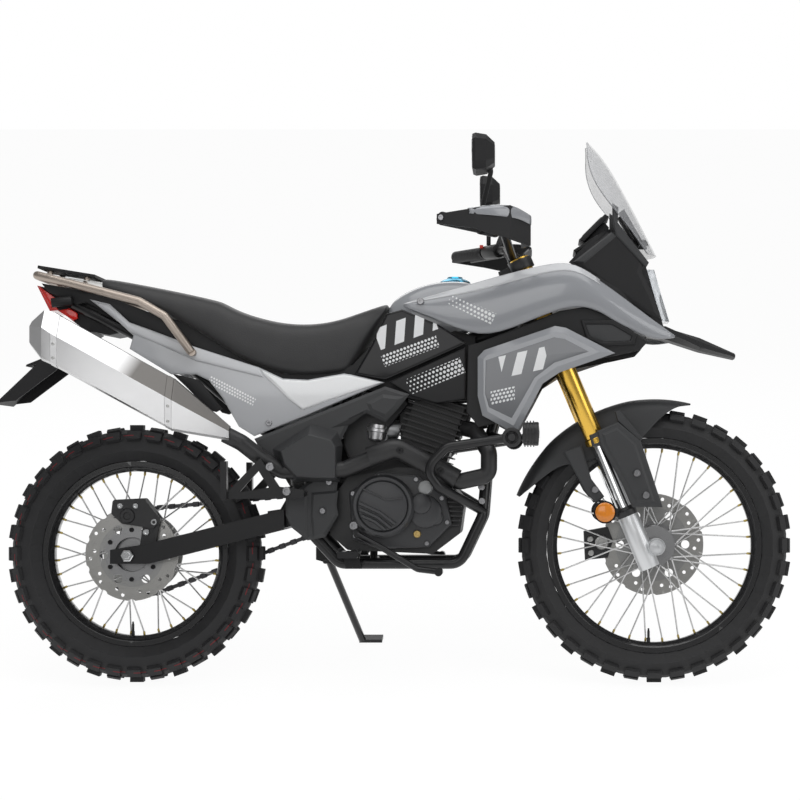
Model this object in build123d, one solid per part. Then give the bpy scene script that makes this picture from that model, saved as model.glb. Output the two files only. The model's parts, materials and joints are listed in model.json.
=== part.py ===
"""Adventure motorcycle with wire wheels and knobbly tyres, parked on its side stand.

The machine is modelled upright in its own frame: X forward from the rear axle, Y to the rider's left,
Z up from the line on which the wheels stand. Every piece is then leaned over onto the side stand, and the
origin is moved to the middle of the bounding box at floor level.
"""
import os
from math import asin, atan2, cos, hypot, pi, radians, sin, tan

from build123d import *

# Stance
WHEELBASE = 1355.0
LEAN = 13.0
RAKE = 23.0
SEAT_GAP = 0.3

# Wheels and tyres
REAR_RIM_R = 242.0
REAR_SECTION = 96.0
REAR_TYRE_W = 118.0
REAR_CROWN_R = 62.0
REAR_RIM_W = 62.0
REAR_ROWS = 36
FRONT_RIM_R = 281.0
FRONT_SECTION = 79.0
FRONT_TYRE_W = 92.0
FRONT_CROWN_R = 48.0
FRONT_RIM_W = 50.0
FRONT_ROWS = 36
LUG_H = 11.0
RIM_DEPTH = 27.0
RIM_WALL = 4.0
SPOKE_R = 2.0
NIPPLE_R = 3.0
SPOKES_A_SIDE = 18
REAR_TYRE_R = REAR_RIM_R + REAR_SECTION
FRONT_TYRE_R = FRONT_RIM_R + FRONT_SECTION

# Fork and steering
AXLE_LEAD = 36.0
CLAMP_OFFSET = 35.0
FORK_HALF = 95.0
UPPER_R = 25.0
SLIDER_R = 18.5
FOOT_R = 27.0
CLAMP_R = 31.0
STEM_R = 15.0
HEAD_R = 30.0
HEAD_LOW, HEAD_HIGH = 628.0, 772.0
CLAMP_T = 26.0
BAR_R = 11.1
GRIP_R = 16.5
BAR_HALF = 410.0

# Axles, hubs and discs
AXLE_R = 9.0
AXLE_CLEARANCE = 0.06
DISC_T = 4.0
DISC_ROOM = 10.0
FRONT_DISC_R = 135.0
REAR_DISC_R = 120.0
DISC_BAND = 36.0
REAR_HUB_HALF = 56.0
REAR_HAT = 16.0
FRONT_HAT = 12.0
REAR_DISC_Y = -(REAR_HUB_HALF + REAR_HAT)
FRONT_DISC_Y = FORK_HALF - FOOT_R - DISC_ROOM
FRONT_HUB_HALF = FRONT_DISC_Y - FRONT_HAT

# Drive
SPROCKET_Y = REAR_HUB_HALF + REAR_HAT
SPROCKET_R = 106.0
CHAIN_W = 17.0
CHAIN_H = 15.0
PINION_R = 33.0
CHAIN_PITCH = 15.875

# Plastics
PANEL_T = 4.0
STEER_ROOM = 8.0
BOBBIN_R = 24.0
TAIL_REACH, TAIL_FLARE = 100.0, 0.02
SCOOP_REACH = FORK_HALF + CLAMP_R + STEER_ROOM + PANEL_T

LEAN_RAD = radians(LEAN)
RAKE_RAD = radians(RAKE)


def axle_height(tyre_r, crown_r):
    """Height of an axle above the standing line, so that the leaning tyre's crown just meets the floor."""
    return (tyre_r - crown_r) + crown_r / cos(LEAN_RAD)


REAR_Z = axle_height(REAR_TYRE_R, REAR_CROWN_R)
FRONT_Z = axle_height(FRONT_TYRE_R, FRONT_CROWN_R)
REAR_AXLE = Vector(0, 0, REAR_Z)
FRONT_AXLE = Vector(WHEELBASE, 0, FRONT_Z)

# Steering axis: its direction up, the way forward across it, and its point level with the front axle.
STEER_UP = Vector(-sin(RAKE_RAD), 0, cos(RAKE_RAD))
STEER_FORE = Vector(cos(RAKE_RAD), 0, sin(RAKE_RAD))
STEER_FOOT = FRONT_AXLE - STEER_FORE * (AXLE_LEAD + CLAMP_OFFSET)


def steer(up, fore, y=0.0):
    """A point given by its height along the steering axis, its distance ahead of it and its side."""
    p = STEER_FOOT + STEER_UP * up + STEER_FORE * fore
    return Vector(p.X, y, p.Z)


# The pivot of the swinging arm and the gearbox sprocket are placed from the rear axle.
PIVOT = Vector(465, 0, 450)
PINION = Vector(535, 0, 462)

# Side stand: pivot, foot and hinge axis.
STAND_PIVOT = Vector(480, 150, 330)
STAND_FOOT_Y = 330.0
STAND_FOOT = Vector(560, STAND_FOOT_Y, STAND_FOOT_Y * tan(LEAN_RAD))
STAND_AXIS = Vector(0, 0.905, 0.425)
STAND_PIN_R = 7.0

# Fuel cap: centre of its seat on the tank.
CAP = Vector(833, 0, 1052)
CAP_R = 34.0
CAP_H = 13.0
CAP_NECK_R = 26.0
CAP_HINGE = CAP + Vector(CAP_R, 0, 2 + SEAT_GAP)


# Making helpers

def extrude_y(points, y_low, y_high, corner=0.0):
    """A flat outline in X and Z, with rounded corners, carried along Y from y_low to y_high."""
    face = Face(Wire.make_polygon([(x, y_low, z) for x, z in points], close=True))
    if corner:
        face = face.fillet_2d(corner, face.vertices())
    return Solid.extrude(face, Vector(0, y_high - y_low, 0))


def both_sides(shape):
    """The piece and its mirror image on the other side of the machine."""
    return Compound(children=[*shape.solids(), *mirror(shape, about=Plane.XZ).solids()])


def one(shapes):
    """One solid from overlapping ones."""
    first, *rest = shapes
    return first.fuse(*rest).clean() if rest else first


def rod(start, end, radius):
    """A round bar from one point to another."""
    start, end = Vector(*start), Vector(*end)
    way = end - start
    return Solid.make_cylinder(radius, way.length, Plane(origin=start, z_dir=way))


def pipe(points, radius, bend):
    """A round tube along straight runs joined by tangent arcs."""
    path = FilletPolyline(*points, radius=bend)
    return sweep(Plane(origin=path @ 0, z_dir=path % 0) * Circle(radius), path=path).solid()


def disc_y(centre, radius, y_low, y_high):
    """A round plate with its axis along Y."""
    base = Plane(origin=(centre.X, y_low, centre.Z), z_dir=(0, 1, 0))
    return Solid.make_cylinder(radius, y_high - y_low, base)


def spin(profile, centre):
    """A closed outline of (radius, y) points turned about an axle."""
    points = [(centre.X, y, centre.Z + r) for r, y in profile]
    face = Face(Wire.make_polygon(points, close=True))
    return revolve(face, Axis((centre.X, 0, centre.Z), (0, 1, 0)), 360).solid()


def ruled(sections):
    """A solid through flat sections with the same number of corners."""
    wires = [Wire.make_polygon(points, close=True) for points in sections]
    return Solid.make_loft(wires, ruled=True)


def strip(rows, wall):
    """A shell panel from rows of x, top z, bottom z and the side reach at its top, middle and bottom."""
    sections = []
    for x, top, bottom, y_top, y_mid, y_bottom in rows:
        middle = (top + bottom) / 2
        outer = [(y_top, top), (y_mid, middle), (y_bottom, bottom)]
        inner = [(y - wall, z) for y, z in reversed(outer)]
        sections.append([(x, -y, z) for y, z in outer + inner])
    return ruled(sections)


def plate(outline, reach, slope_x, slope_z, wall):
    """A flat panel on the right side whose reach from the middle changes evenly along x and z."""
    x0, z0 = outline[0]
    points = [(x, -(reach + slope_x * (x - x0) + slope_z * (z - z0)), z) for x, z in outline]
    return Solid.extrude(Face(Wire.make_polygon(points, close=True)), Vector(0, wall, 0))


def post(x, z, y_low, y_high, radius=7.0):
    """A round boss along Y that carries a panel."""
    return disc_y(Vector(x, 0, z), radius, y_low, y_high)


# Wheels

# Angles round the crown where its facets meet, and the facets that carry lugs on one row and the next
CROWN = (-70, -40, -16, 16, 40, 70)
LUG_ROWS = ((0, 2, 4), (0, 4))


def tyre(centre, tyre_r, width, crown_r, rim_r, rows):
    """Knobbly tyre: a carcass of flat facets, one to a row, with rows of lugs out to the tyre's radius."""
    middle = tyre_r - crown_r
    pitch = 2 * pi / rows
    bead_r, bead_y = (rim_r + SEAT_GAP) / cos(pitch / 2), width * 0.25

    def crown(radius, angle):
        return (middle + radius * cos(radians(angle)), radius * sin(radians(angle)))

    base = [crown(crown_r - LUG_H, a) for a in CROWN]
    profile = [(bead_r, -bead_y), (bead_r + 26, -width / 2 + LUG_H * 0.5), *base,
               (bead_r + 26, width / 2 - LUG_H * 0.5), (bead_r, bead_y)]

    def spot(point, turn):
        r, y = point
        return (centre.X + r * sin(turn), centre.Y + y, centre.Z + r * cos(turn))

    faces = []
    for i in range(rows):
        start, end = (i - 0.5) * pitch, (i + 0.5) * pitch
        for near, far in zip(profile, profile[1:] + profile[:1]):
            corners = [spot(near, start), spot(far, start), spot(far, end), spot(near, end)]
            faces.append(Face(Wire.make_polygon(corners, close=True)))
    carcass = Solid(Shell(faces))
    lugs = []
    for i in range(rows):
        turn = i * pitch
        along = Vector(cos(turn), 0, -sin(turn))
        half = 0.3 * pitch * tyre_r
        for cell in LUG_ROWS[i % len(LUG_ROWS)]:
            low, high = CROWN[cell], CROWN[cell + 1]
            section = [crown(crown_r - LUG_H - 4, low + 1), crown(crown_r - LUG_H - 4, high - 1),
                       crown(crown_r, high - 4), crown(crown_r, low + 4)]
            corners = [Vector(*spot(p, turn)) - along * half for p in section]
            face = Face(Wire.make_polygon(corners, close=True))
            lugs.append(Solid.extrude(face, along * (2 * half)))
    return carcass.fuse(*lugs).solids().sort_by(SortBy.VOLUME)[-1]


def rim(centre, rim_r, width):
    """A drop-centre rim: two flanges, a well and the bed that the spokes pull on."""
    half = width / 2
    well = rim_r - RIM_DEPTH
    shelf = rim_r - 10
    outer = [(rim_r, -half), (rim_r, -half + RIM_WALL), (shelf, -half + RIM_WALL + 2), (shelf, -half * 0.55),
             (well + RIM_WALL, -half * 0.35), (well + RIM_WALL, half * 0.35), (shelf, half * 0.55),
             (shelf, half - RIM_WALL - 2), (rim_r, half - RIM_WALL), (rim_r, half)]
    inner = [(shelf - RIM_WALL, half), (well, half * 0.4), (well, -half * 0.4), (shelf - RIM_WALL, -half)]
    return spin(outer + inner, centre)


def hub(centre, barrel_r, flange_r, half, rim_r):
    """Hub barrel with two flanges and crossed spokes that reach to the rim's bed."""
    bore = AXLE_R + AXLE_CLEARANCE
    flange_t = 6.0
    profile = [(bore, -half), (flange_r, -half), (flange_r, -half + flange_t),
               (barrel_r, -half + 2 * flange_t), (barrel_r, half - 2 * flange_t), (flange_r, half - flange_t),
               (flange_r, half), (bore, half)]
    bodies = [spin(profile, centre)]
    tip_r = rim_r - RIM_DEPTH - SEAT_GAP
    root_r = flange_r - 4
    for side in (-1, 1):
        for i in range(SPOKES_A_SIDE):
            lean = radians(34 if i % 2 else -34)
            tip = 2 * pi * (i + 0.25 * side) / SPOKES_A_SIDE
            root = tip + lean
            start = centre + Vector(root_r * sin(root), side * (half - flange_t / 2), root_r * cos(root))
            out = Vector(sin(tip), 0, cos(tip))
            end = centre + out * (tip_r - 9) + Vector(0, side * 4, 0)
            bodies.append(rod(start, end + out * 2, SPOKE_R))
            bodies.append(rod(end, end + out * 9, NIPPLE_R))
    return one(bodies)


def brake_disc(centre, radius, y, carrier_r, hub_half):
    """A waved disc with drilled holes, carried on a spider from the hub."""
    waves = 10
    low, high = y - DISC_T / 2, y + DISC_T / 2
    body = disc_y(centre, radius, low, high)
    cuts = []
    for i in range(waves):
        a = 2 * pi * i / waves
        notch = centre + Vector(sin(a), 0, cos(a)) * (radius + 8)
        cuts.append(disc_y(notch, 12, low - 1, high + 1))
        for share in (0.35, 0.65):
            b = a + share * 2 * pi / waves
            hole = centre + Vector(sin(b), 0, cos(b)) * (radius - DISC_BAND * share)
            cuts.append(disc_y(hole, 4.5, low - 1, high + 1))
    window_r = radius - DISC_BAND - 12
    for i in range(6):
        a = 2 * pi * (i + 0.5) / 6
        window = centre + Vector(sin(a), 0, cos(a)) * window_r
        cuts.append(disc_y(window, 11, low - 1, high + 1))
    cuts.append(disc_y(centre, carrier_r, low - 1, high + 1))
    face = hub_half + SEAT_GAP
    y_low, y_high = (y, -face) if y < 0 else (face, y)
    hat = disc_y(centre, carrier_r + 12, y_low, y_high).cut(disc_y(centre, carrier_r, -200, 200))
    return one([body.cut(*cuts).solid(), hat.solid()])


def sprocket(centre, radius, y):
    """The driven sprocket: a ring on six arms."""
    half = 3.0
    body = disc_y(centre, radius, y - half, y + half)
    cuts = [disc_y(centre, 32, y - half - 1, y + half + 1),
            disc_y(centre, 32, 0, y)]
    for i in range(6):
        a = 2 * pi * i / 6
        cuts.append(disc_y(centre + Vector(sin(a), 0, cos(a)) * (radius * 0.68), radius * 0.19, y - 9, y + 9))
    hat = disc_y(centre, 50, REAR_HUB_HALF + SEAT_GAP, y)
    return one([body, hat]).cut(*cuts).solid()


# Frame and engine

TUBE_R, SPINE_R, CRADLE_Y = 14.0, 22.0, 105.0
CRADLE = [(925, 52, 640), (908, CRADLE_Y, 440), (850, CRADLE_Y, 318), (540, CRADLE_Y, 318),
          (PIVOT.X, CRADLE_Y, 400), (PIVOT.X, CRADLE_Y, 560), (585, 40, 786)]
SPINE_END = Vector(590, 0, 786)
SPINE_START = steer(HEAD_LOW + 45, -10)
DOWN_TOP = steer(HEAD_LOW + 40, -22, 16)


def main_frame():
    """Head tube, backbone, twin down tubes and cradle, pivot uprights, cross tubes and stand bracket."""
    head = rod(steer(HEAD_LOW, 0), steer(HEAD_HIGH, 0), HEAD_R)
    spine = rod(SPINE_START, SPINE_END, SPINE_R)
    loops = []
    for s in (-1, 1):
        points = [tuple(DOWN_TOP), *CRADLE]
        loops.append(pipe([(x, s * y, z) for x, y, z in points], TUBE_R, 38))
    cross = [rod((920, -70, 560), (920, 70, 560), 12), rod((590, -52, 786), (590, 52, 786), 16),
             rod((620, -CRADLE_Y, 318), (620, CRADLE_Y, 318), 12)]
    bracket = extrude_y([(500, 305), (500, 352), (455, 352), (455, 318)], CRADLE_Y + 8, STAND_PIVOT.Y - 24)
    pin = rod(STAND_PIVOT - STAND_AXIS * 40, STAND_PIVOT + STAND_AXIS * 14, STAND_PIN_R)
    arm = rod(steer(700, 20), (1352, 0, 1050), 11)
    nose = Pos(-SEAT_GAP, 0, 0) * cowl_shell()
    arm = arm.cut(nose).solids().sort_by(SortBy.VOLUME)[-1]
    mount = rod((620, 0, 318), (620, 0, 348.5), 10)
    body = one([head, spine, *loops, *cross, bracket, pin, arm, mount])
    bore = rod(steer(HEAD_LOW - 60, 0), steer(HEAD_HIGH + 60, 0), STEM_R + AXLE_CLEARANCE)
    return body.cut(bore).solid()


def frame_room():
    """The straight runs of the frame's tubes, grown by the gap at which other pieces seat on them."""
    grown = TUBE_R + SEAT_GAP
    rods = [rod(SPINE_START, SPINE_END, SPINE_R + SEAT_GAP),
            rod((590, -52.3, 786), (590, 52.3, 786), 16 + SEAT_GAP)]
    points = [tuple(DOWN_TOP), *CRADLE]
    for s in (-1, 1):
        for (x0, y0, z0), (x1, y1, z1) in zip(points, points[1:]):
            rods.append(rod((x0, s * y0, z0), (x1, s * y1, z1), grown))
    return rods


def rear_subframe():
    """Seat rails and their stays, joined by cross tubes."""
    rail_r, stay_r, side = 12.0, 11.0, 78.0
    bodies = []
    for s in (-1, 1):
        rail = [(575, 60, 770), (430, side, 742), (180, side, 820), (-150, side, 985)]
        bodies.append(pipe([(x, s * y, z) for x, y, z in rail], rail_r, 60))
        bodies.append(pipe([(484, s * 90, 572), (400, s * side, 610), (150, s * side, 822)], stay_r, 60))
    for x, z in ((430, 742), (180, 822)):
        bodies.append(rod((x, -side, z), (x, side, z), 10))
    return one(bodies).cut(*frame_room()).solids().sort_by(SortBy.VOLUME)[-1]


def crankcase():
    """Engine block: case, sump and the generator cover on the left."""
    case = extrude_y([(515, 392), (560, 352), (780, 342), (850, 395), (862, 480), (800, 556), (690, 566),
                      (560, 540), (512, 470)], -92, 92, 12)
    cover = disc_y(Vector(690, 0, 452), 78, 90, 126)
    boss = disc_y(Vector(690, 0, 452), 40, 120, 138)
    nose = disc_y(PINION, PINION_R + 0.7, 40, 82)
    bay = extrude_y([(480, 380), (600, 360), (604, 545), (480, 545)], 55, 100)
    case = case.cut(bay, barrel_block(-SEAT_GAP, BARREL_H, 54, 54)).solid()
    lid = extrude_y([(506, 404), (612, 366), (622, 530), (560, 538), (508, 500)], 88, 97, 8)
    return one([case, cover, boss, nose, lid])


def clutch_cover():
    """Round clutch cover on the right of the crankcase with its raised ribs."""
    centre = Vector(655, 0, 466)
    base = extrude_y([(575, 380), (640, 356), (770, 360), (830, 420), (815, 490), (740, 545), (640, 552),
                      (566, 500)], -116, -92.3, 16)
    drum = disc_y(centre, 80, -146, -110)
    crown = disc_y(centre, 66, -154, -140)
    pump = disc_y(Vector(762, 0, 452), 42, -136, -110)
    ribs = [extrude_y([(600, 452 - 22 * i), (668, 425 - 22 * i), (690, 395 - 16 * i), (696, 399 - 16 * i),
                       (673, 433 - 22 * i), (602, 460 - 22 * i)], -157, -150) for i in range(2)]
    return one([base, drum, crown, pump, *ribs])


BARREL_FOOT, BARREL_TOP = Vector(742, 0, 568), Vector(800, 0, 742)
BARREL_UP = (BARREL_TOP - BARREL_FOOT).normalized()
BARREL_FORE = Vector(BARREL_UP.Z, 0, -BARREL_UP.X)
BARREL_H = (BARREL_TOP - BARREL_FOOT).length
FIN_HALF = 78.0


def barrel_block(low, high, half_x, half_y):
    """A block square to the leaning barrel, between two heights above its foot."""
    corner = BARREL_FOOT + BARREL_UP * low - BARREL_FORE * half_x - Vector(0, half_y, 0)
    base = Plane(origin=corner, x_dir=BARREL_FORE, z_dir=BARREL_UP)
    return Solid.make_box(2 * half_x, 2 * half_y, high - low, base)


def barrel_room():
    """The room that the barrel and its fins take up, with the gap at which pieces seat on it."""
    half = FIN_HALF + SEAT_GAP
    return barrel_block(-SEAT_GAP, BARREL_H + 40, half, half)


def cylinder():
    """Finned barrel and head, leaning forward over the crankcase."""
    bodies = [barrel_block(0, BARREL_H, 52, 52), barrel_block(14, BARREL_H, FIN_HALF - 13, 58),
              barrel_block(BARREL_H - 22, BARREL_H, 66, 60)]
    fin_t, pitch = 4.0, 15.0
    for i in range(int(BARREL_H / pitch)):
        low = 14 + i * pitch
        bodies.append(barrel_block(low, low + fin_t, FIN_HALF, FIN_HALF))
    return one(bodies)


def exhaust_header():
    """Header pipe from the front of the head, round and back along the right side to the silencer."""
    radius = 21.0
    run = pipe([(840, -46, 672), (888, -82, 660), (926, -150, 604), (926, -158, 545), (850, -160, 528),
                (690, -160, 612), (560, -158, 560), (400, -156, 556), (350, -176, 588), (304, -200, 626.6),
                (262.3, -200, 647.86)], radius, 24)
    shield = pipe([(845, -166, 534), (690, -166, 616), (622, -166, 590)], radius + 5, 40)
    return one([run, shield]).cut(barrel_room()).solid()


def silencer():
    """Six-sided silencer can with a tapered front cone and a folded end cap."""
    axis_start, axis_end = Vector(262, 0, 648), Vector(-212, 0, 890)
    along = (axis_end - axis_start).normalized()
    up = Vector(along.Z, 0, -along.X)
    rows = [  # distance along it, half height, half width and sideways shift
        (0, 25, 24, 0), (108, 62, 44, -8), (128, 66, 50, -8), (470, 66, 50, -8), (500, 58, 44, -6),
        (535, 34, 30, 0)]
    sections = []
    for reach, tall, wide, shift in rows:
        middle = axis_start + along * reach
        ring = [(-wide, 0.45), (-wide, -0.35), (-0.35 * wide, -1.0), (0.55 * wide, -1.0), (wide, -0.4),
                (wide, 0.35), (0.3 * wide, 1.0), (-0.55 * wide, 1.0)]
        sections.append([tuple(middle + up * (t * tall) + Vector(0, -200 + shift + w, 0)) for w, t in ring])
    return ruled(sections)


def carburettor():
    """Carburettor body with its float bowl between head and air box."""
    body = rod((722, -20, 660), (616, -20, 668), 26)
    bowl = rod((646, -20, 662), (642, -20, 612), 24)
    top = rod((646, -20, 662), (650, -20, 716), 20)
    whole = one([body, bowl, top]).cut(barrel_room())
    return whole.solids().sort_by(SortBy.VOLUME)[-1]


def swingarm():
    """Box-section arms, yoke, pivot tube, chain guard and axle blocks, with the rear axle through them."""
    y_in, y_out = 92.0, 120.0
    arm = [(-46, REAR_Z + 14), (-46, REAR_Z - 22), (52, REAR_Z - 22), (392, 404), (392, 456),
           (40, REAR_Z + 28)]
    bodies = []
    for s in (-1, 1):
        bodies.append(extrude_y(arm, s * y_in, s * y_out))
        bodies.append(extrude_y([(352, 398), (470, 428), (470, 470), (352, 452)], s * 40, s * 78))
    bodies.append(extrude_y([(352, 398), (400, 406), (400, 456), (352, 446)], -y_out, y_out))
    bodies.append(rod((PIVOT.X, -90.75, PIVOT.Z), (PIVOT.X, 90.75, PIVOT.Z), 25))
    bodies.append(rod((0, -y_out - 12, REAR_Z), (0, y_out + 12, REAR_Z), AXLE_R))
    for s in (-1, 1):
        bodies.append(rod((0, s * 86, REAR_Z), (0, s * (y_out + 10), REAR_Z), 15))
    return one(bodies)


def rear_caliper():
    """Rear brake caliper over the disc and its bracket on the arm."""
    rim_top = REAR_Z + REAR_DISC_R
    body = extrude_y([(-44, rim_top + 22), (36, rim_top + 26), (80, rim_top - 30), (60, rim_top - 52),
                      (-20, rim_top - 40), (-48, rim_top - 14)], -98, -50, 8)
    slot = disc_y(REAR_AXLE, REAR_DISC_R + 6, REAR_DISC_Y - DISC_T / 2 - 2, REAR_DISC_Y + DISC_T / 2 + 2)
    bracket = extrude_y([(22, REAR_Z + 6), (62, REAR_Z + 12), (76, rim_top - 30), (36, rim_top - 20)],
                        -91.7, -82)
    return one([body, bracket]).cut(slot).solid()


def rear_shock():
    """Coil-over shock from the yoke to the backbone, with its spring as a stack of crested coils."""
    low, high = Vector(388, 0, 445), Vector(586, 0, 784)
    way = high - low
    bodies = [rod(low, high, 17)]
    coils, valley_r, crest_r = 9, 25.0, 36.0
    rise = way * (0.28 / (coils - 1))
    for i in range(coils):
        crest = low + way * 0.22 + rise * (2 * i)
        bodies.append(Solid.make_cone(valley_r, crest_r, rise.length, Plane(origin=crest - rise, z_dir=way)))
        bodies.append(Solid.make_cone(crest_r, valley_r, rise.length, Plane(origin=crest, z_dir=way)))
    yoke = extrude_y([(340, 390), (400 + SEAT_GAP, 395), (400 + SEAT_GAP, 456.4), (340, 443.9)], -60, 60)
    whole = one(bodies).cut(yoke, *frame_room())
    return whole.solids().sort_by(SortBy.VOLUME)[-1]


def chain():
    """Chain round both sprockets: outer plates on every other link, over the inner links that join them."""
    big, small = SPROCKET_R + 1 + CHAIN_H / 2, PINION_R + 1 + CHAIN_H / 2
    gap = PINION - REAR_AXLE
    tilt, reach = atan2(gap.Z, gap.X), hypot(gap.X, gap.Z)
    spread = asin((big - small) / reach)
    run = reach * cos(spread)
    wrap_big, wrap_small = pi + 2 * spread, pi - 2 * spread
    stretches = [run, small * wrap_small, run, big * wrap_big]
    count = 2 * round(sum(stretches) / CHAIN_PITCH / 2)

    def at(way):
        """Middle and heading of the chain, a length along it from the start of its top run."""
        top, low = tilt + pi / 2 - spread, tilt - pi / 2 + spread
        if way < stretches[0]:
            start = REAR_AXLE + Vector(cos(top), 0, sin(top)) * big
            return start + Vector(sin(top), 0, -cos(top)) * way, top - pi / 2
        way -= stretches[0]
        if way < stretches[1]:
            turn = top - way / small
            return PINION + Vector(cos(turn), 0, sin(turn)) * small, turn - pi / 2
        way -= stretches[1]
        if way < stretches[2]:
            start = PINION + Vector(cos(low), 0, sin(low)) * small
            return start + Vector(sin(low), 0, -cos(low)) * way, low - pi / 2
        turn = low - (way - stretches[2]) / big
        return REAR_AXLE + Vector(cos(turn), 0, sin(turn)) * big, turn - pi / 2

    pitch = sum(stretches) / count
    links = []
    for i in range(count):
        middle, heading = at((i + 0.5) * pitch)
        length, tall, wide = (0.92, CHAIN_H - 1, CHAIN_W) if i % 2 else (1.3, CHAIN_H - 5, CHAIN_W - 6)
        fore = Vector(cos(heading), 0, sin(heading))
        over = Vector(-sin(heading), 0, cos(heading))
        corner = middle - fore * (length * pitch / 2) - over * (tall / 2) + Vector(0, SPROCKET_Y + wide / 2, 0)
        base = Plane(origin=corner, x_dir=fore, z_dir=(0, -1, 0))
        links.append(Solid.make_box(length * pitch, tall, wide, base))
    return one(links)


# Bodywork

def fuel_tank():
    """Tank between the knees, with the seat of its cap."""
    rows = [  # x, rise of the bottom above the backbone, top z, half width at the bottom and at the top
        (652, 60, 974, 70, 56), (690, 0, 1019, 100, 78), (745, 0, 1043, 104, 84), (800, 0, 1051, 104, 86),
        (872, 0, 1051, 104, 86), (908, 0, 1030, 104, 80)]
    fall = (SPINE_START.Z - SPINE_END.Z) / (SPINE_START.X - SPINE_END.X)
    sections = []
    for x, rise, high, wide, top in rows:
        low = SPINE_END.Z + fall * (x - SPINE_END.X) + SPINE_R * hypot(1, fall) + SEAT_GAP + rise
        knee = high - 0.3 * (high - low)
        sections.append([(x, -wide, low), (x, wide, low), (x, wide, knee), (x, top, high - 8),
                         (x, 0.7 * top, high), (x, -0.7 * top, high), (x, -top, high - 8), (x, -wide, knee)])
    neck = Solid.make_cylinder(CAP_NECK_R, 6, Plane(origin=CAP - Vector(0, 0, 4)))
    return one([ruled(sections), neck])


def fuel_cap():
    """Round cap hinged at its front edge."""
    disc = Solid.make_cylinder(CAP_R, CAP_H, Plane(origin=CAP + Vector(0, 0, 2 + SEAT_GAP)))
    return disc.chamfer(3, None, [disc.edges().sort_by(Axis.Z)[-1]])


TANK_PANEL = [
    # x, top z, bottom z, and how far it stands out from the scoop panel at its top, middle and bottom
    (706, 984, 976, -24, -21, -22), (775, 1003, 951, -22, -7, -9), (903, 1040, 889, -8, 13, 6),
    (1005, 1066, 927, 5, 24, 14), (1107, 1090, 969, 6, 28, 20), (1158, 1078, 976, 4, 25, 18),
    (1209, 1044, 964, -4, 18, 12), (1260, 1009, 926, -12, 9, 3), (1344, 947, 888, -30, -14, -19),
    (1403, 906, 898, -40, -37, -38)]


def tank_panels():
    """Side panels of the tank, swept forward to the headlamp."""
    rows = [(x, top, low, *(SCOOP_REACH + y for y in reach)) for x, top, low, *reach in TANK_PANEL]
    panel = strip(rows, PANEL_T)
    lugs = [post(800, 975, -SCOOP_REACH + 4, -104.3), post(890, 960, -SCOOP_REACH - 9, -104.3)]
    return both_sides(one([panel, *lugs]))


def scoop_panels():
    """Black inner panels below the tank panels, with the air scoop's mouth."""
    outline = [(872, 705), (880, 872), (1005, 914), (1107, 955), (1170, 964), (1247, 932), (1328, 882),
               (1311, 864), (1247, 850), (1120, 826), (1063, 778), (1000, 690), (898, 668)]
    stay = rod((935, -SCOOP_REACH + 2, 760), (958, -37, 760), 8)
    whole = one([plate(outline, SCOOP_REACH, 0.0, 0.0, PANEL_T), stay]).cut(*frame_room())
    return both_sides(whole.solids().sort_by(SortBy.VOLUME)[-1])


def shrouds():
    """Lower grey shrouds, standing proud of the scoop panels on posts."""
    outline = [(897, 846), (914, 864), (1094, 924), (1122, 919), (1246, 854), (1106, 806), (1063, 778),
               (1038, 730), (1000, 660), (985, 655), (909, 697), (897, 747)]
    panel = plate(outline, SCOOP_REACH + 12, 0.1, 0.0, PANEL_T + 1)
    seat_y = -SCOOP_REACH - SEAT_GAP
    lugs = [post(930, 760, seat_y - 14, seat_y), post(1110, 880, seat_y - 32, seat_y)]
    return both_sides(one([panel, *lugs]))


def side_covers():
    """Black covers between seat and scoop panels."""
    outline = [(577, 804), (622, 880), (660, 962), (704, 974), (800, 932), (868, 888), (868, 738), (790, 727),
               (723, 747), (656, 777)]
    panel = plate(outline, 112, 0.05, 0.0, PANEL_T)
    lugs = [post(760, 940, -118, -104.3)]
    return both_sides(one([panel, *lugs]))


def lower_covers():
    """Dark covers below the tail panels and over the pivot."""
    upper = plate([(325, 625), (658, 758), (716, 743), (690, 714), (660, 677), (612, 700), (572, 680),
                   (541, 622), (545, 567), (381, 545), (348, 596)], 132, 0.0, 0.0, PANEL_T + 2)
    lower = plate([(405, 487), (445, 515), (487, 543), (542, 560), (533, 481), (540, 443), (507, 386),
                   (461, 378), (420, 411), (405, 443)], 132, 0.0, 0.0, PANEL_T + 2)
    facets = [plate(outline, 138, 0.0, 0.0, PANEL_T + 4) for outline in (
        [(386, 606), (470, 648), (514, 640), (530, 604), (528, 586), (440, 578), (398, 580)],
        [(590, 712), (652, 742), (694, 734), (676, 712), (648, 694), (612, 712)],
        [(470, 474), (480, 506), (524, 540), (520, 482), (524, 446), (500, 404), (474, 398), (466, 424)])]
    bridge = extrude_y([(440, 505), (520, 505), (520, 600), (440, 600)], -131, -127)
    lug = post(PIVOT.X, 480, -130, -119.3)
    side = both_sides(one([upper, lower, *facets, bridge, lug]))
    face = [(396, 610), (404, 576), (440, 536), (540, 534), (541, 622), (530, 640), (470, 655)]
    bulge = extrude_y(face, -187, -183)
    rib = extrude_y([(396, 604), (470, 648), (528, 634), (530, 640), (470, 655), (396, 610)], -187, -131)
    return Compound(children=[one([part, bulge, rib]) if part.center().Y < 0 else part for part in side.solids()])


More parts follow.
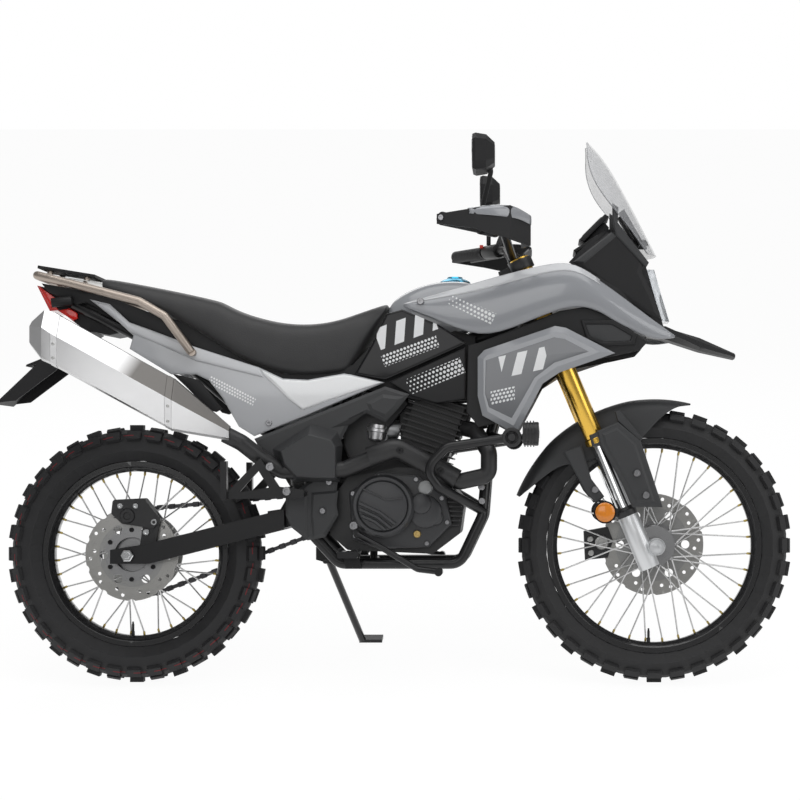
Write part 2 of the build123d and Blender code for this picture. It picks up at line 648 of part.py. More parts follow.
def seat():
    """Long stepped seat, low where the rider sits and raised for the passenger."""
    rows = [  # x, bottom z, top z, half width at the bottom and at the top
        (-82, 1024, 1055, 84, 76), (20, 990, 1038, 106, 92), (130, 938, 1014, 114, 100),
        (215, 884, 994, 118, 104), (308, 828, 948, 120, 108), (400, 796, 929, 118, 106),
        (490, 796, 936, 108, 96), (572, 818, 964, 98, 80), (622, 884, 984, 88, 66), (651.7, 950, 984, 76, 58)]
    sections = []
    for x, low, high, wide, top in rows:
        crown = high - 0.12 * (high - low)
        belly = low + 0.45 * (high - low)
        sections.append([(x, -wide, low), (x, wide, low), (x, wide, belly), (x, top, crown),
                         (x, 0.55 * top, high), (x, -0.55 * top, high), (x, -top, crown), (x, -wide, belly)])
    return ruled(sections)


def tail_panels():
    """Grey side panels below the seat, forked at the tail."""
    outline = [(-104, 998), (-51, 985), (0, 938), (56, 918), (172, 868), (343, 788), (397, 764), (556, 786),
               (652, 766), (441, 682), (322, 632), (282, 665), (241, 742), (205, 788), (172, 804), (108, 804),
               (0, 870), (10, 904), (-26, 937)]
    panel = plate(outline, TAIL_REACH, TAIL_FLARE, 0.0, PANEL_T)
    lugs = [post(150, 832, -102, -90.3), post(430, 742, -110, -90.3)]
    return both_sides(one([panel, *lugs]))


TRAY_HALF = 65.7


def rear_mudguard():
    """Under-tail tray and the hanging mudguard with its plate bracket."""
    tray = extrude_y([(-236, 1034), (-100, 1000), (-20, 962), (-8, 918), (-60, 908), (-124, 921), (-190, 972)],
                     -TRAY_HALF, TRAY_HALF)
    flap = extrude_y([(-120, 922), (-232, 846), (-352, 732), (-346, 727), (-222, 838), (-104, 916)], -74, 74)
    skirts = [extrude_y([(-150, 900), (-232, 846), (-352, 732), (-300, 738), (-196, 816)], s * 70, s * 74)
              for s in (-1, 1)]
    bracket = extrude_y([(-236, 848), (-276, 832), (-278, 827), (-226, 838)], -60, 60)
    body = one([tray, flap, *skirts, bracket])
    holes = [rod((-262, s * 40, 860), (-256, s * 40, 810), 3.3) for s in (-1, 1)]
    return body.cut(*holes).solid()


RACK = Plane(origin=(-170, 0, 1068), x_dir=(-0.987, 0, 0.16), z_dir=(0.16, 0, 0.987))


def rack_box(length, width, low, high):
    """A block square to the rack, centred on it."""
    corner = RACK.origin - RACK.x_dir * (length / 2) - RACK.y_dir * (width / 2) + RACK.z_dir * low
    return Solid.make_box(length, width, high - low, Plane(origin=corner, x_dir=RACK.x_dir, z_dir=RACK.z_dir))


def luggage_rack():
    """Flat rack plate behind the seat with four bolt holes on a circle."""
    bolt_circle_r, bolt_r, thick = 50.0, 3.3, 8.0
    holes = []
    for i in range(4):
        a = pi / 4 + i * pi / 2
        at = RACK.origin + RACK.x_dir * (bolt_circle_r * cos(a)) + RACK.y_dir * (bolt_circle_r * sin(a))
        holes.append(rod(at - RACK.z_dir * 10, at + RACK.z_dir * 20, bolt_r))
    return rack_box(150, 150, 0, thick).cut(*holes, rack_box(56, 50, -10, 20)).solid()


def grab_rail():
    """Cast grab rails down both sides, joined behind the rack."""
    rails = []
    for s in (-1, 1):
        rails.append(pipe([(-246, 0, 1062), (-240, s * 96, 1060), (-200, s * 104, 1050), (-60, s * 120, 1014),
                           (30, s * 127, 990), (96, s * 131, 952), (164, s * 127, 860)], 11, 14))
        rails.append(rod((164, s * 127, 860), (164, s * (TAIL_REACH + TAIL_FLARE * 268 + SEAT_GAP), 860), 10))
        for foot, rail in ((Vector(-215, s * 62, 1060), (-215, s * 104, 1054)),
                           (Vector(-120, s * 62, 1045), (-120, s * 113, 1030))):
            rise = -(foot - RACK.origin).dot(RACK.z_dir) - SEAT_GAP
            rails.append(rod(rail, foot, 7))
            rails.append(rod(foot, foot + RACK.z_dir * rise, 8))
    return one(rails)


def tail_lamp():
    """Red tail lamp: a wedge at the back and a wing low on each side of the tray."""
    wedge = extrude_y([(-246, 1036), (-236.24, 1033.8), (-190.24, 971.8), (-213, 970)], -70, 70)
    wing = extrude_y([(-188, 971), (-158, 971), (-138, 952), (-151, 944)],
                     -TRAY_HALF - 12, -TRAY_HALF - SEAT_GAP)
    return Compound(children=[wedge, *both_sides(wing).solids()])


def indicators():
    """Rear turn signals on short stalks above the wings of the tail lamp."""
    stalk = rod((-166, -TRAY_HALF - SEAT_GAP, 992), (-166, -98, 992), 5)
    body = rod((-198, -106, 988), (-146, -106, 994), 12)
    return both_sides(one([stalk, body]))


def crash_bars():
    """Bent tubular engine guards with a bobbin at the front."""
    bar = pipe([(985, -206, 640), (820, -206, 616), (768, -206, 560), (800, -200, 516), (911, -104, 452)],
               12, 36)
    bobbin = disc_y(Vector(985, 0, 640), BOBBIN_R, -222, -190)
    stay = rod((985, -200, 630), (927, -52, 650), 9)
    whole = one([bar, bobbin, stay]).cut(*frame_room())
    return both_sides(whole.solids().sort_by(SortBy.VOLUME)[-1])


def fog_lamps():
    """Auxiliary lamps with cooling fins on the engine guards."""
    body = rod((1012, -204, 652), (1050, -204, 652), 26)
    bodies = [body]
    for i in range(4):
        bodies.append(rod((1014 + 8 * i, -204, 652), (1017 + 8 * i, -204, 652), 30))
    neck = rod((985 + BOBBIN_R + SEAT_GAP, -204, 640), (1020, -204, 640), 9)
    return both_sides(one([*bodies, neck]))


def footpegs():
    """Rider's pegs on their hangers and the passenger's pegs on cast brackets."""
    peg = extrude_y([(545, 352), (600, 352), (596, 336), (548, 336)], -222, -132)
    hanger = extrude_y([(550, 350), (592, 350), (600, 306), (560, 306)], -136, -119.3)
    rider = one([peg, hanger])
    triangle = extrude_y([(252, 484), (352, 588), (400, 516), (462, 508), (462, 488)], -213, -202)
    window = extrude_y([(300, 502), (348, 556), (374, 514)], -220, -190)
    step = extrude_y([(254, 484), (270, 484), (270, 580), (254, 580)], -229, -202)
    arm = rod((452, -204, 498), (452, -132.3, 498), 9)
    passenger = one([triangle.cut(window).solid(), step, arm])
    return Compound(children=[*both_sides(rider).solids(), *both_sides(passenger).solids()])


def foot_controls():
    """Brake pedal on the right and gear lever on the left."""
    pedal = pipe([(590, -150, 394), (650, -150, 362), (745, -160, 306), (800, -172, 300)], 8, 20)
    lever = pipe([(600, 148, 400), (700, 150, 352), (790, 160, 330)], 7, 20)
    toe = rod((790, 150, 330), (790, 200, 330), 9)
    tip = rod((800, -160, 300), (800, -205, 300), 10)
    mount = rod((590, -152, 394), (590, -116.3, 394), 9)
    left_mount = rod((600, 150, 400), (600, 97.3, 400), 8)
    return Compound(children=[one([pedal, tip, mount]), one([lever, toe, left_mount])])


COWL = [
    # z, rear x, front x, and how far it lies inside the scoop panels at the rear and at the front
    (930, 1330, 1378, 50, 64), (1020, 1236, 1350, 34, 54), (1092, 1130, 1330, 30, 52),
    (1130, 1166, 1304, 32, 54), (1180, 1226, 1266, 40, 58)]


def cowl_shell():
    """The cowl's U-shaped wall, open to the rear."""
    sections = []
    for z, rear, front, rear_in, front_in in COWL:
        t, wide, nose = PANEL_T, SCOOP_REACH - rear_in, SCOOP_REACH - front_in
        outer = [(rear, -wide), (front - 30, -nose), (front, -nose * 0.6), (front, nose * 0.6),
                 (front - 30, nose), (rear, wide)]
        inner = [(rear, wide - t), (front - 32, nose - t), (front - t, nose * 0.6 - t),
                 (front - t, -nose * 0.6 + t), (front - 32, -nose + t), (rear, -wide + t)]
        sections.append([(x, y, z) for x, y in outer + inner])
    return ruled(sections)


def front_cowl():
    """Headlamp cowl with the brackets of the screen."""
    posts = [rod((1284, s * 40, 1150), (1352, s * 40, 1150), 8) for s in (-1, 1)]
    whole = one([cowl_shell(), *posts]).cut(Pos(-SEAT_GAP, 0, 0) * windscreen())
    return whole.solids().sort_by(SortBy.VOLUME)[-1]


def headlamp():
    """Clear lamp strip down the nose, in front of the cowl."""
    gap = SEAT_GAP
    sections = []
    for z, front, wide in ((945, 1373.3, 46), (1020, 1350, 52), (1080, 1333.3, 50)):
        back, face = front + gap, front + 20
        sections.append([(back, -wide, z), (face, -wide * 0.8, z), (face, wide * 0.8, z), (back, wide, z)])
    return ruled(sections)


def beak():
    """Nose beak over the front wheel."""
    sections = []
    rows = [  # x, top z, thickness, half width and how far the edges drop
        (1336, 932.7, 22, 90, 3), (1380, 932.7, 30, 84, 3), (1472, 906, 34, 66, 16), (1564, 866, 15, 48, 8)]
    for x, top, thick, wide, drop in rows:
        outer = [(-wide, top - drop), (-0.5 * wide, top - 3), (0.5 * wide, top - 3), (wide, top - drop)]
        under = [(y, z - thick * (0.4 if abs(y) > 0.6 * wide else 1.0)) for y, z in reversed(outer)]
        sections.append([(x, y, z) for y, z in outer + under])
    return ruled(sections)


def windscreen():
    """Clear curved screen in front of the cowl, with its two standoffs."""
    wall = 4.0
    rows = [  # z, middle x, half width and how far the edge sweeps back
        (1118, 1362, 66, 26), (1186, 1328, 100, 42), (1232, 1305, 116, 60), (1290, 1274, 122, 76),
        (1350, 1240, 112, 62), (1392, 1206, 80, 26), (1412, 1184, 44, 6)]
    sections = []
    for z, middle, wide, back in rows:
        front = [(middle - back, -wide), (middle - 0.3 * back, -0.6 * wide), (middle, -0.2 * wide),
                 (middle, 0.2 * wide), (middle - 0.3 * back, 0.6 * wide), (middle - back, wide)]
        rear = [(x - wall, y) for x, y in reversed(front)]
        sections.append([(x, y, z) for x, y in front + rear])
    return ruled(sections)


def dash():
    """Instrument panel held between the cowl's walls."""
    body = extrude_y([(1150, 1128), (1160, 1158), (1222, 1196), (1240, 1186), (1238, 1160), (1178, 1124)],
                     -68, 68, 4)
    ears = [rod((1200, s * 60, 1155), (1200, s * (SCOOP_REACH - 44.6), 1155), 8) for s in (-1, 1)]
    return one([body, *ears])


# Front end

def stadium(up_low, up_high, fore, half, radius):
    """A bar across the fork with round ends, square to the steering axis."""
    ends = [rod(steer(up_low, fore, s * half), steer(up_high, fore, s * half), radius) for s in (-1, 1)]
    corner = steer(up_low, fore - radius * 0.8, -half)
    web = Solid.make_box(1.6 * radius, 2 * half, up_high - up_low, Plane(origin=corner, x_dir=STEER_FORE,
                                                                        z_dir=STEER_UP))
    return one([*ends, web])


LOWER_CLAMP = 586.0
UPPER_CLAMP = 790.0


def triple_clamps():
    """Both fork clamps and the stem that turns in the head tube."""
    bodies = []
    for low in (LOWER_CLAMP, UPPER_CLAMP):
        bodies.append(stadium(low, low + CLAMP_T, CLAMP_OFFSET, FORK_HALF, CLAMP_R))
        corner = steer(low, -26, -34)
        bodies.append(Solid.make_box(60, 68, CLAMP_T, Plane(origin=corner, x_dir=STEER_FORE, z_dir=STEER_UP)))
    bodies.append(rod(steer(LOWER_CLAMP, 0), steer(UPPER_CLAMP + CLAMP_T + 3, 0), STEM_R))
    body = one(bodies)
    holes = [rod(steer(500, CLAMP_OFFSET, s * FORK_HALF), steer(900, CLAMP_OFFSET, s * FORK_HALF), UPPER_R)
             for s in (-1, 1)]
    return body.cut(*holes).solid()


def fork_uppers():
    """Upper fork tubes in the clamps."""
    return both_sides(rod(steer(303, CLAMP_OFFSET, -FORK_HALF), steer(820, CLAMP_OFFSET, -FORK_HALF), UPPER_R))


def fork_lowers():
    """Bright sliders and cast feet that carry the front axle."""
    bodies = []
    boss_out = FORK_HALF + 29
    for side in (-FORK_HALF, FORK_HALF):
        slider = rod(steer(90, CLAMP_OFFSET, side), steer(302.7, CLAMP_OFFSET, side), SLIDER_R)
        foot = rod(steer(-44, CLAMP_OFFSET, side), steer(110, CLAMP_OFFSET, side), FOOT_R)
        bodies += [slider, foot]
    for s in (-1, 1):
        bodies.append(rod((WHEELBASE, s * (FORK_HALF - 21), FRONT_Z), (WHEELBASE, s * boss_out, FRONT_Z), 22))
    bodies.append(rod((WHEELBASE, -boss_out, FRONT_Z), (WHEELBASE, boss_out, FRONT_Z), AXLE_R))
    return one(bodies)


def slab(points, thick):
    """A flat piece in the fork's own heights and distances ahead, carried sideways."""
    face = Face(Wire.make_polygon([steer(up, fore, y) for up, fore, y in points], close=True))
    return Solid.extrude(face, Vector(0, thick, 0))


def front_mudguard():
    """Low mudguard round the front tyre with a guard plate beside each fork leg."""
    half = FRONT_TYRE_W / 2 + 16
    outer = [(-half, FRONT_TYRE_R - 60), (-half + 4, FRONT_TYRE_R + 6), (-half + 30, FRONT_TYRE_R + 23),
             (half - 30, FRONT_TYRE_R + 23), (half - 4, FRONT_TYRE_R + 6), (half, FRONT_TYRE_R - 60)]
    ring = outer + [(y * 0.93, r - PANEL_T) for y, r in reversed(outer)]
    sections = []
    for d in (-14, 2, 18, 34, 50, 68):
        a = radians(d)
        sections.append([(FRONT_AXLE.X - r * sin(a), y, FRONT_Z + r * cos(a)) for y, r in ring])
    bodies = [ruled(sections)]
    # height along the fork and distance ahead of its legs
    guard = [(331, 43), (339, 94), (265, 127), (102, 118), (128, 56), (202, 53), (298, 41)]
    arm = [(330, 23), (332, 63), (329, 95), (289, 105), (294, 67), (301, 19)]
    lean = FORK_HALF + FOOT_R
    for s in (-1, 1):
        bodies.append(slab([(up, fore, s * (lean + 2)) for up, fore in guard], s * PANEL_T))
        bodies.append(slab([(up, fore, s * (half - 3)) for up, fore in arm], s * (lean + 4 - half + 3)))
    legs = [rod(steer(240, CLAMP_OFFSET, y), steer(440, CLAMP_OFFSET, y), UPPER_R + SEAT_GAP)
            for y in (-FORK_HALF, FORK_HALF)]
    return one(bodies).cut(*legs).solids().sort_by(SortBy.VOLUME)[-1]


def front_caliper():
    """Front brake caliper on the left fork leg."""
    inner, outer = FRONT_DISC_Y - 14, FORK_HALF - 13
    outline = [(103.6, -83.9), (89.6, -20.3), (51.3, -21.5), (14.5, -52.4), (32.4, -110)]
    body = slab([(up, fore, inner) for up, fore in outline], outer - inner)
    slot = disc_y(FRONT_AXLE, FRONT_DISC_R + 6, FRONT_DISC_Y - DISC_T / 2 - 2, FRONT_DISC_Y + DISC_T / 2 + 2)
    arm_outline = [(89.6, -31), (90.3, 8.4), (41, 1.6), (37.6, -46.6)]
    arm = slab([(up, fore, outer - 6) for up, fore in arm_outline], FORK_HALF + 1 - outer + 6)
    leg = rod(steer(-60, CLAMP_OFFSET, FORK_HALF), steer(120, CLAMP_OFFSET, FORK_HALF), FOOT_R + SEAT_GAP)
    return one([body, arm]).cut(slot, leg).solids().sort_by(SortBy.VOLUME)[-1]


BAR_MIDDLE = steer(UPPER_CLAMP + CLAMP_T + 18, 22)
BAR_KNEE = BAR_MIDDLE + Vector(-20, 190, 50)
BAR_END = BAR_MIDDLE + Vector(-165, BAR_HALF, 54)


def on_bar(share, side=-1):
    """A point on the outer run of the bar, by its share of the way from the knee to the end."""
    p = BAR_KNEE + (BAR_END - BAR_KNEE) * share
    return Vector(p.X, side * p.Y, p.Z)


def handlebar():
    """Bar with its risers and grips."""
    bodies = []
    for s in (-1, 1):
        bodies.append(pipe([(BAR_MIDDLE.X, 0, BAR_MIDDLE.Z), (BAR_MIDDLE.X, s * 70, BAR_MIDDLE.Z),
                            (BAR_KNEE.X, s * BAR_KNEE.Y, BAR_KNEE.Z), (BAR_END.X, s * BAR_END.Y, BAR_END.Z)],
                           BAR_R, 40))
        low = steer(UPPER_CLAMP + CLAMP_T + SEAT_GAP, 22, s * 44)
        bodies.append(rod(low, (BAR_MIDDLE.X, s * 44, BAR_MIDDLE.Z), 15))
        bodies.append(rod(on_bar(0.42, s), on_bar(1.0, s), GRIP_R))
    return one(bodies)


def controls():
    """Switch housings, master cylinders and levers on the bar."""
    along = (on_bar(1.0) - on_bar(0.0)).normalized()
    ring = rod(on_bar(0.14), on_bar(0.38), 19)
    pot = rod(on_bar(0.2) + Vector(14, 0, 8), on_bar(0.2) + Vector(26, 0, 40), 17)
    perch = rod(on_bar(0.24), on_bar(0.24) + Vector(40, -6, -8), 9)
    lever = pipe([on_bar(0.2) + Vector(40, 0, -8), on_bar(0.5) + Vector(46, 0, -10),
                  on_bar(0.98) + Vector(40, 0, -12)], 5, 30)
    bore = rod(on_bar(0.1) - along * 40, on_bar(0.36) + along * 40, BAR_R + 0.2)
    return both_sides(one([ring, pot, perch, lever]).cut(bore).solid())


def hand_guards():
    """Wrap-round guards in front of the grips, narrow at the bar ends and tallest at the front corner."""
    end = on_bar(1.0)
    rows = [  # ahead of the bar end, y outside and inside, setback of the inside, bottom and top from the end
        (-12, -424, -414, 0, -14, 9), (80, -438, -431, 0, -27, 22), (165, -404, -399, 6, -48, 33),
        (214, -330, -328, 7, -56, 16), (196, -236, -237, 7, -52, -12)]
    sections = []
    for ahead, outside, inside, back, low, high in rows:
        x, z = end.X + ahead, end.Z
        sections.append([(x, outside, z + low), (x, outside, z + high), (x - back, inside, z + high),
                         (x - back, inside, z + low)])
    along = (on_bar(1.0) - on_bar(0.0)).normalized()
    stay = rod((end.X + 193, -240, end.Z - 24), on_bar(0.06), 7)
    room = [rod(on_bar(0.4), on_bar(1.0) + along * SEAT_GAP, GRIP_R + SEAT_GAP),
            rod(on_bar(0.02), on_bar(0.4), BAR_R + SEAT_GAP)]
    whole = one([ruled(sections), stay]).cut(*room)
    return both_sides(whole.solids().sort_by(SortBy.VOLUME)[-1])


def mirrors():
    """Mirrors on thin stems above the switches: a flat glass face and a housing that narrows forward."""
    foot = on_bar(0.34) + Vector(0, 0, 19.9)
    head = on_bar(0.34) + Vector(4, -67, 170)
    stem = pipe([foot, foot + Vector(0, -4, 40), head + Vector(16, 20, -40), head + Vector(10, 0, 0)], 6, 16)
    outline = [(-66, -26), (-52, -44), (42, -46), (58, -32), (64, 20), (44, 46), (-44, 46), (-66, 30)]
    rows = ((-28, 0.94), (-20, 1.0), (6, 0.92), (26, 0.56))
    sections = [[(head.X + x, head.Y + y * size, head.Z + z * size) for y, z in outline] for x, size in rows]
    return both_sides(one([stem, ruled(sections)]))


def side_stand():
    """Leg and foot of the side stand, on the pin of its bracket."""
    way = STAND_FOOT - STAND_PIVOT
    leg = rod(STAND_PIVOT + way.normalized() * 12, STAND_FOOT + Vector(0, 0, 8), 10)
    eye = rod(STAND_PIVOT - STAND_AXIS * 11, STAND_PIVOT + STAND_AXIS * 11, 18)
    floor = Plane(origin=STAND_FOOT, z_dir=(0, -sin(LEAN_RAD), cos(LEAN_RAD)))
    foot = Solid.make_box(64, 46, 9, Plane(origin=floor.origin - Vector(32, 0, 0) - floor.y_dir * 23,
                                           x_dir=(1, 0, 0), z_dir=floor.z_dir))
    body = one([leg, eye, foot])
    return body.cut(rod(STAND_PIVOT - STAND_AXIS * 40, STAND_PIVOT + STAND_AXIS * 40,
                        STAND_PIN_R + AXLE_CLEARANCE)).solid()


def build():
    """Every named piece in the upright frame."""
    parts = {}
    parts["rear_tyre"] = tyre(REAR_AXLE, REAR_TYRE_R, REAR_TYRE_W, REAR_CROWN_R, REAR_RIM_R, REAR_ROWS)
    parts["rear_rim"] = rim(REAR_AXLE, REAR_RIM_R, REAR_RIM_W)
    parts["rear_hub"] = hub(REAR_AXLE, 34, 60, REAR_HUB_HALF, REAR_RIM_R)
    parts["rear_disc"] = brake_disc(REAR_AXLE, REAR_DISC_R, REAR_DISC_Y, 44, REAR_HUB_HALF)
    parts["rear_sprocket"] = sprocket(REAR_AXLE, SPROCKET_R, SPROCKET_Y)
    parts["front_tyre"] = tyre(FRONT_AXLE, FRONT_TYRE_R, FRONT_TYRE_W, FRONT_CROWN_R, FRONT_RIM_R, FRONT_ROWS)
    parts["front_rim"] = rim(FRONT_AXLE, FRONT_RIM_R, FRONT_RIM_W)
    parts["front_hub"] = hub(FRONT_AXLE, 26, 52, FRONT_HUB_HALF, FRONT_RIM_R)
    parts["front_disc"] = brake_disc(FRONT_AXLE, FRONT_DISC_R, FRONT_DISC_Y, 38, FRONT_HUB_HALF)
    parts["main_frame"] = main_frame()
    parts["rear_subframe"] = rear_subframe()
    parts["crankcase"] = crankcase()
    parts["clutch_cover"] = clutch_cover()
    parts["cylinder"] = cylinder()
    parts["exhaust_header"] = exhaust_header()
    parts["silencer"] = silencer()
    parts["carburettor"] = carburettor()
    parts["swingarm"] = swingarm()
    parts["rear_caliper"] = rear_caliper()
    parts["rear_shock"] = rear_shock()
    parts["drive_chain"] = chain()
    parts["fuel_tank"] = fuel_tank()
    parts["tank_panels"] = tank_panels()
    parts["scoop_panels"] = scoop_panels()
    parts["shrouds"] = shrouds()
    parts["side_covers"] = side_covers()
    parts["lower_covers"] = lower_covers()
    parts["seat"] = seat()
    parts["tail_panels"] = tail_panels()
    parts["rear_mudguard"] = rear_mudguard()
    parts["luggage_rack"] = luggage_rack()
    parts["grab_rail"] = grab_rail()
    parts["tail_lamp"] = tail_lamp()
    parts["indicators"] = indicators()
    parts["crash_bars"] = crash_bars()
    parts["fog_lamps"] = fog_lamps()
    parts["footpegs"] = footpegs()
    parts["foot_controls"] = foot_controls()
    parts["front_cowl"] = front_cowl()
    parts["headlamp"] = headlamp()
    parts["beak"] = beak()
    parts["windscreen"] = windscreen()
    parts["dash"] = dash()
    parts["fuel_cap"] = fuel_cap()
    parts["triple_clamps"] = triple_clamps()
    parts["fork_uppers"] = fork_uppers()
    parts["fork_lowers"] = fork_lowers()
    parts["front_mudguard"] = front_mudguard()
    parts["front_caliper"] = front_caliper()
    parts["handlebar"] = handlebar()
    parts["controls"] = controls()
    parts["hand_guards"] = hand_guards()
    parts["mirrors"] = mirrors()
    parts["side_stand"] = side_stand()
    return parts


def placed(parts):
    """The pieces leaned onto the stand, with the origin at the middle of their box at floor level."""
    leaned = {name: Rot(X=-LEAN) * shape for name, shape in parts.items()}
    boxes = [shape.bounding_box() for shape in leaned.values()]
    low_x, high_x = min(b.min.X for b in boxes), max(b.max.X for b in boxes)
    low_y, high_y = min(b.min.Y for b in boxes), max(b.max.Y for b in boxes)
    shift = Vector(-(low_x + high_x) / 2, -(low_y + high_y) / 2, -min(b.min.Z for b in boxes))
    return {name: Pos(shift) * shape for name, shape in leaned.items()}, shift


def main():
    os.makedirs("parts", exist_ok=True)
    pieces, _ = placed(build())
    for name, shape in pieces.items():
        export_step(shape, f"parts/{name}.step")


if __name__ == "__main__":
    main()
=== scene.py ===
"""Looks of an adventure motorcycle on its side stand.

Finishes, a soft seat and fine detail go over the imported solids. New pieces are drawn on the upright machine
in millimetres: X forward from the rear axle, Y to the rider's left and Z up from the line on which the wheels
stand. BIKE then leans and shifts them to where the solids are.
"""
import json
from math import cos, pi, radians, sin

import bmesh
import bpy
from mathutils import Matrix, Vector


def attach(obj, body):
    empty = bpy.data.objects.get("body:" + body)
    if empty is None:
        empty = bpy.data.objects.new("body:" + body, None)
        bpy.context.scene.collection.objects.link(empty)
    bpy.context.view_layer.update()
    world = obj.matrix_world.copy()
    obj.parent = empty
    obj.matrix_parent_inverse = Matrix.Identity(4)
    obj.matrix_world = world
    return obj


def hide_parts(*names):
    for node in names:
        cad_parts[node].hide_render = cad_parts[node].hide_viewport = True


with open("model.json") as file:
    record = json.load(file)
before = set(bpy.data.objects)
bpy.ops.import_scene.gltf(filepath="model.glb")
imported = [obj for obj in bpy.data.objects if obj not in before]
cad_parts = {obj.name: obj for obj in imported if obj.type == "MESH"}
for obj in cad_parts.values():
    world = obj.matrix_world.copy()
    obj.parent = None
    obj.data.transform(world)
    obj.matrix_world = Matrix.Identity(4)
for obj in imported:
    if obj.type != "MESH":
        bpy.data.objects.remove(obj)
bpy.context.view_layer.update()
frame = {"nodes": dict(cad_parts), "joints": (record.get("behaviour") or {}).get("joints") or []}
nodes = frame["nodes"]
joints = {joint["name"]: joint for joint in frame["joints"]}

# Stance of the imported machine
MM = 0.001
LEAN = radians(13)
RAKE = radians(23)
WHEELBASE = 1355.0
REAR_AXLE = Vector(joints["rear_wheel_spin"]["pos_m"])
FRONT_AXLE = Vector(joints["front_wheel_spin"]["pos_m"])
REAR_Z = REAR_AXLE.z / cos(LEAN) / MM
FRONT_Z = FRONT_AXLE.z / cos(LEAN) / MM
BIKE = (Matrix.Translation(REAR_AXLE) @ Matrix.Rotation(-LEAN, 4, "X")
        @ Matrix.Translation((0, 0, -REAR_Z * MM)) @ Matrix.Scale(MM, 4))
UPRIGHT = BIKE.inverted()

# Steering axis: the height along it and the distance ahead of it give a point of the fork
FORK_HALF = 95.0
LEG_AHEAD = 35.0
AXLE_AHEAD = 71.0
FORK_UP = Vector((-sin(RAKE), 0, cos(RAKE)))
FORK_FORE = Vector((cos(RAKE), 0, sin(RAKE)))
FORK_FOOT = Vector((WHEELBASE, 0, FRONT_Z)) - FORK_FORE * AXLE_AHEAD


def fork(up, fore, y=0.0):
    """A point of the fork on the upright machine."""
    return FORK_FOOT + FORK_UP * up + FORK_FORE * fore + Vector((0, y, 0))


# Finishes


class Wire:
    """A socket in a finish, on which arithmetic adds Math nodes."""

    def __init__(self, finish, socket):
        self.finish = finish
        self.socket = socket

    def math(self, operation, *others):
        return self.finish.add("ShaderNodeMath", {"operation": operation}, self, *others)

    def __add__(self, other):
        return self.math("ADD", other)

    def __mul__(self, other):
        return self.math("MULTIPLY", other)

    def __sub__(self, other):
        return self.math("SUBTRACT", other)

    def __rsub__(self, other):
        return self.finish.add("ShaderNodeMath", {"operation": "SUBTRACT"}, other, self)

    def __truediv__(self, other):
        return self.math("DIVIDE", other)

    def __abs__(self):
        return self.math("ABSOLUTE")

    def cell(self, pitch):
        """How far into its cell of a pitch, from 0 to 1."""
        return (self / pitch).math("FRACT")

    def __gt__(self, other):
        return self.math("GREATER_THAN", other)

    def __lt__(self, other):
        return self.math("LESS_THAN", other)

    __radd__ = __add__
    __rmul__ = __mul__


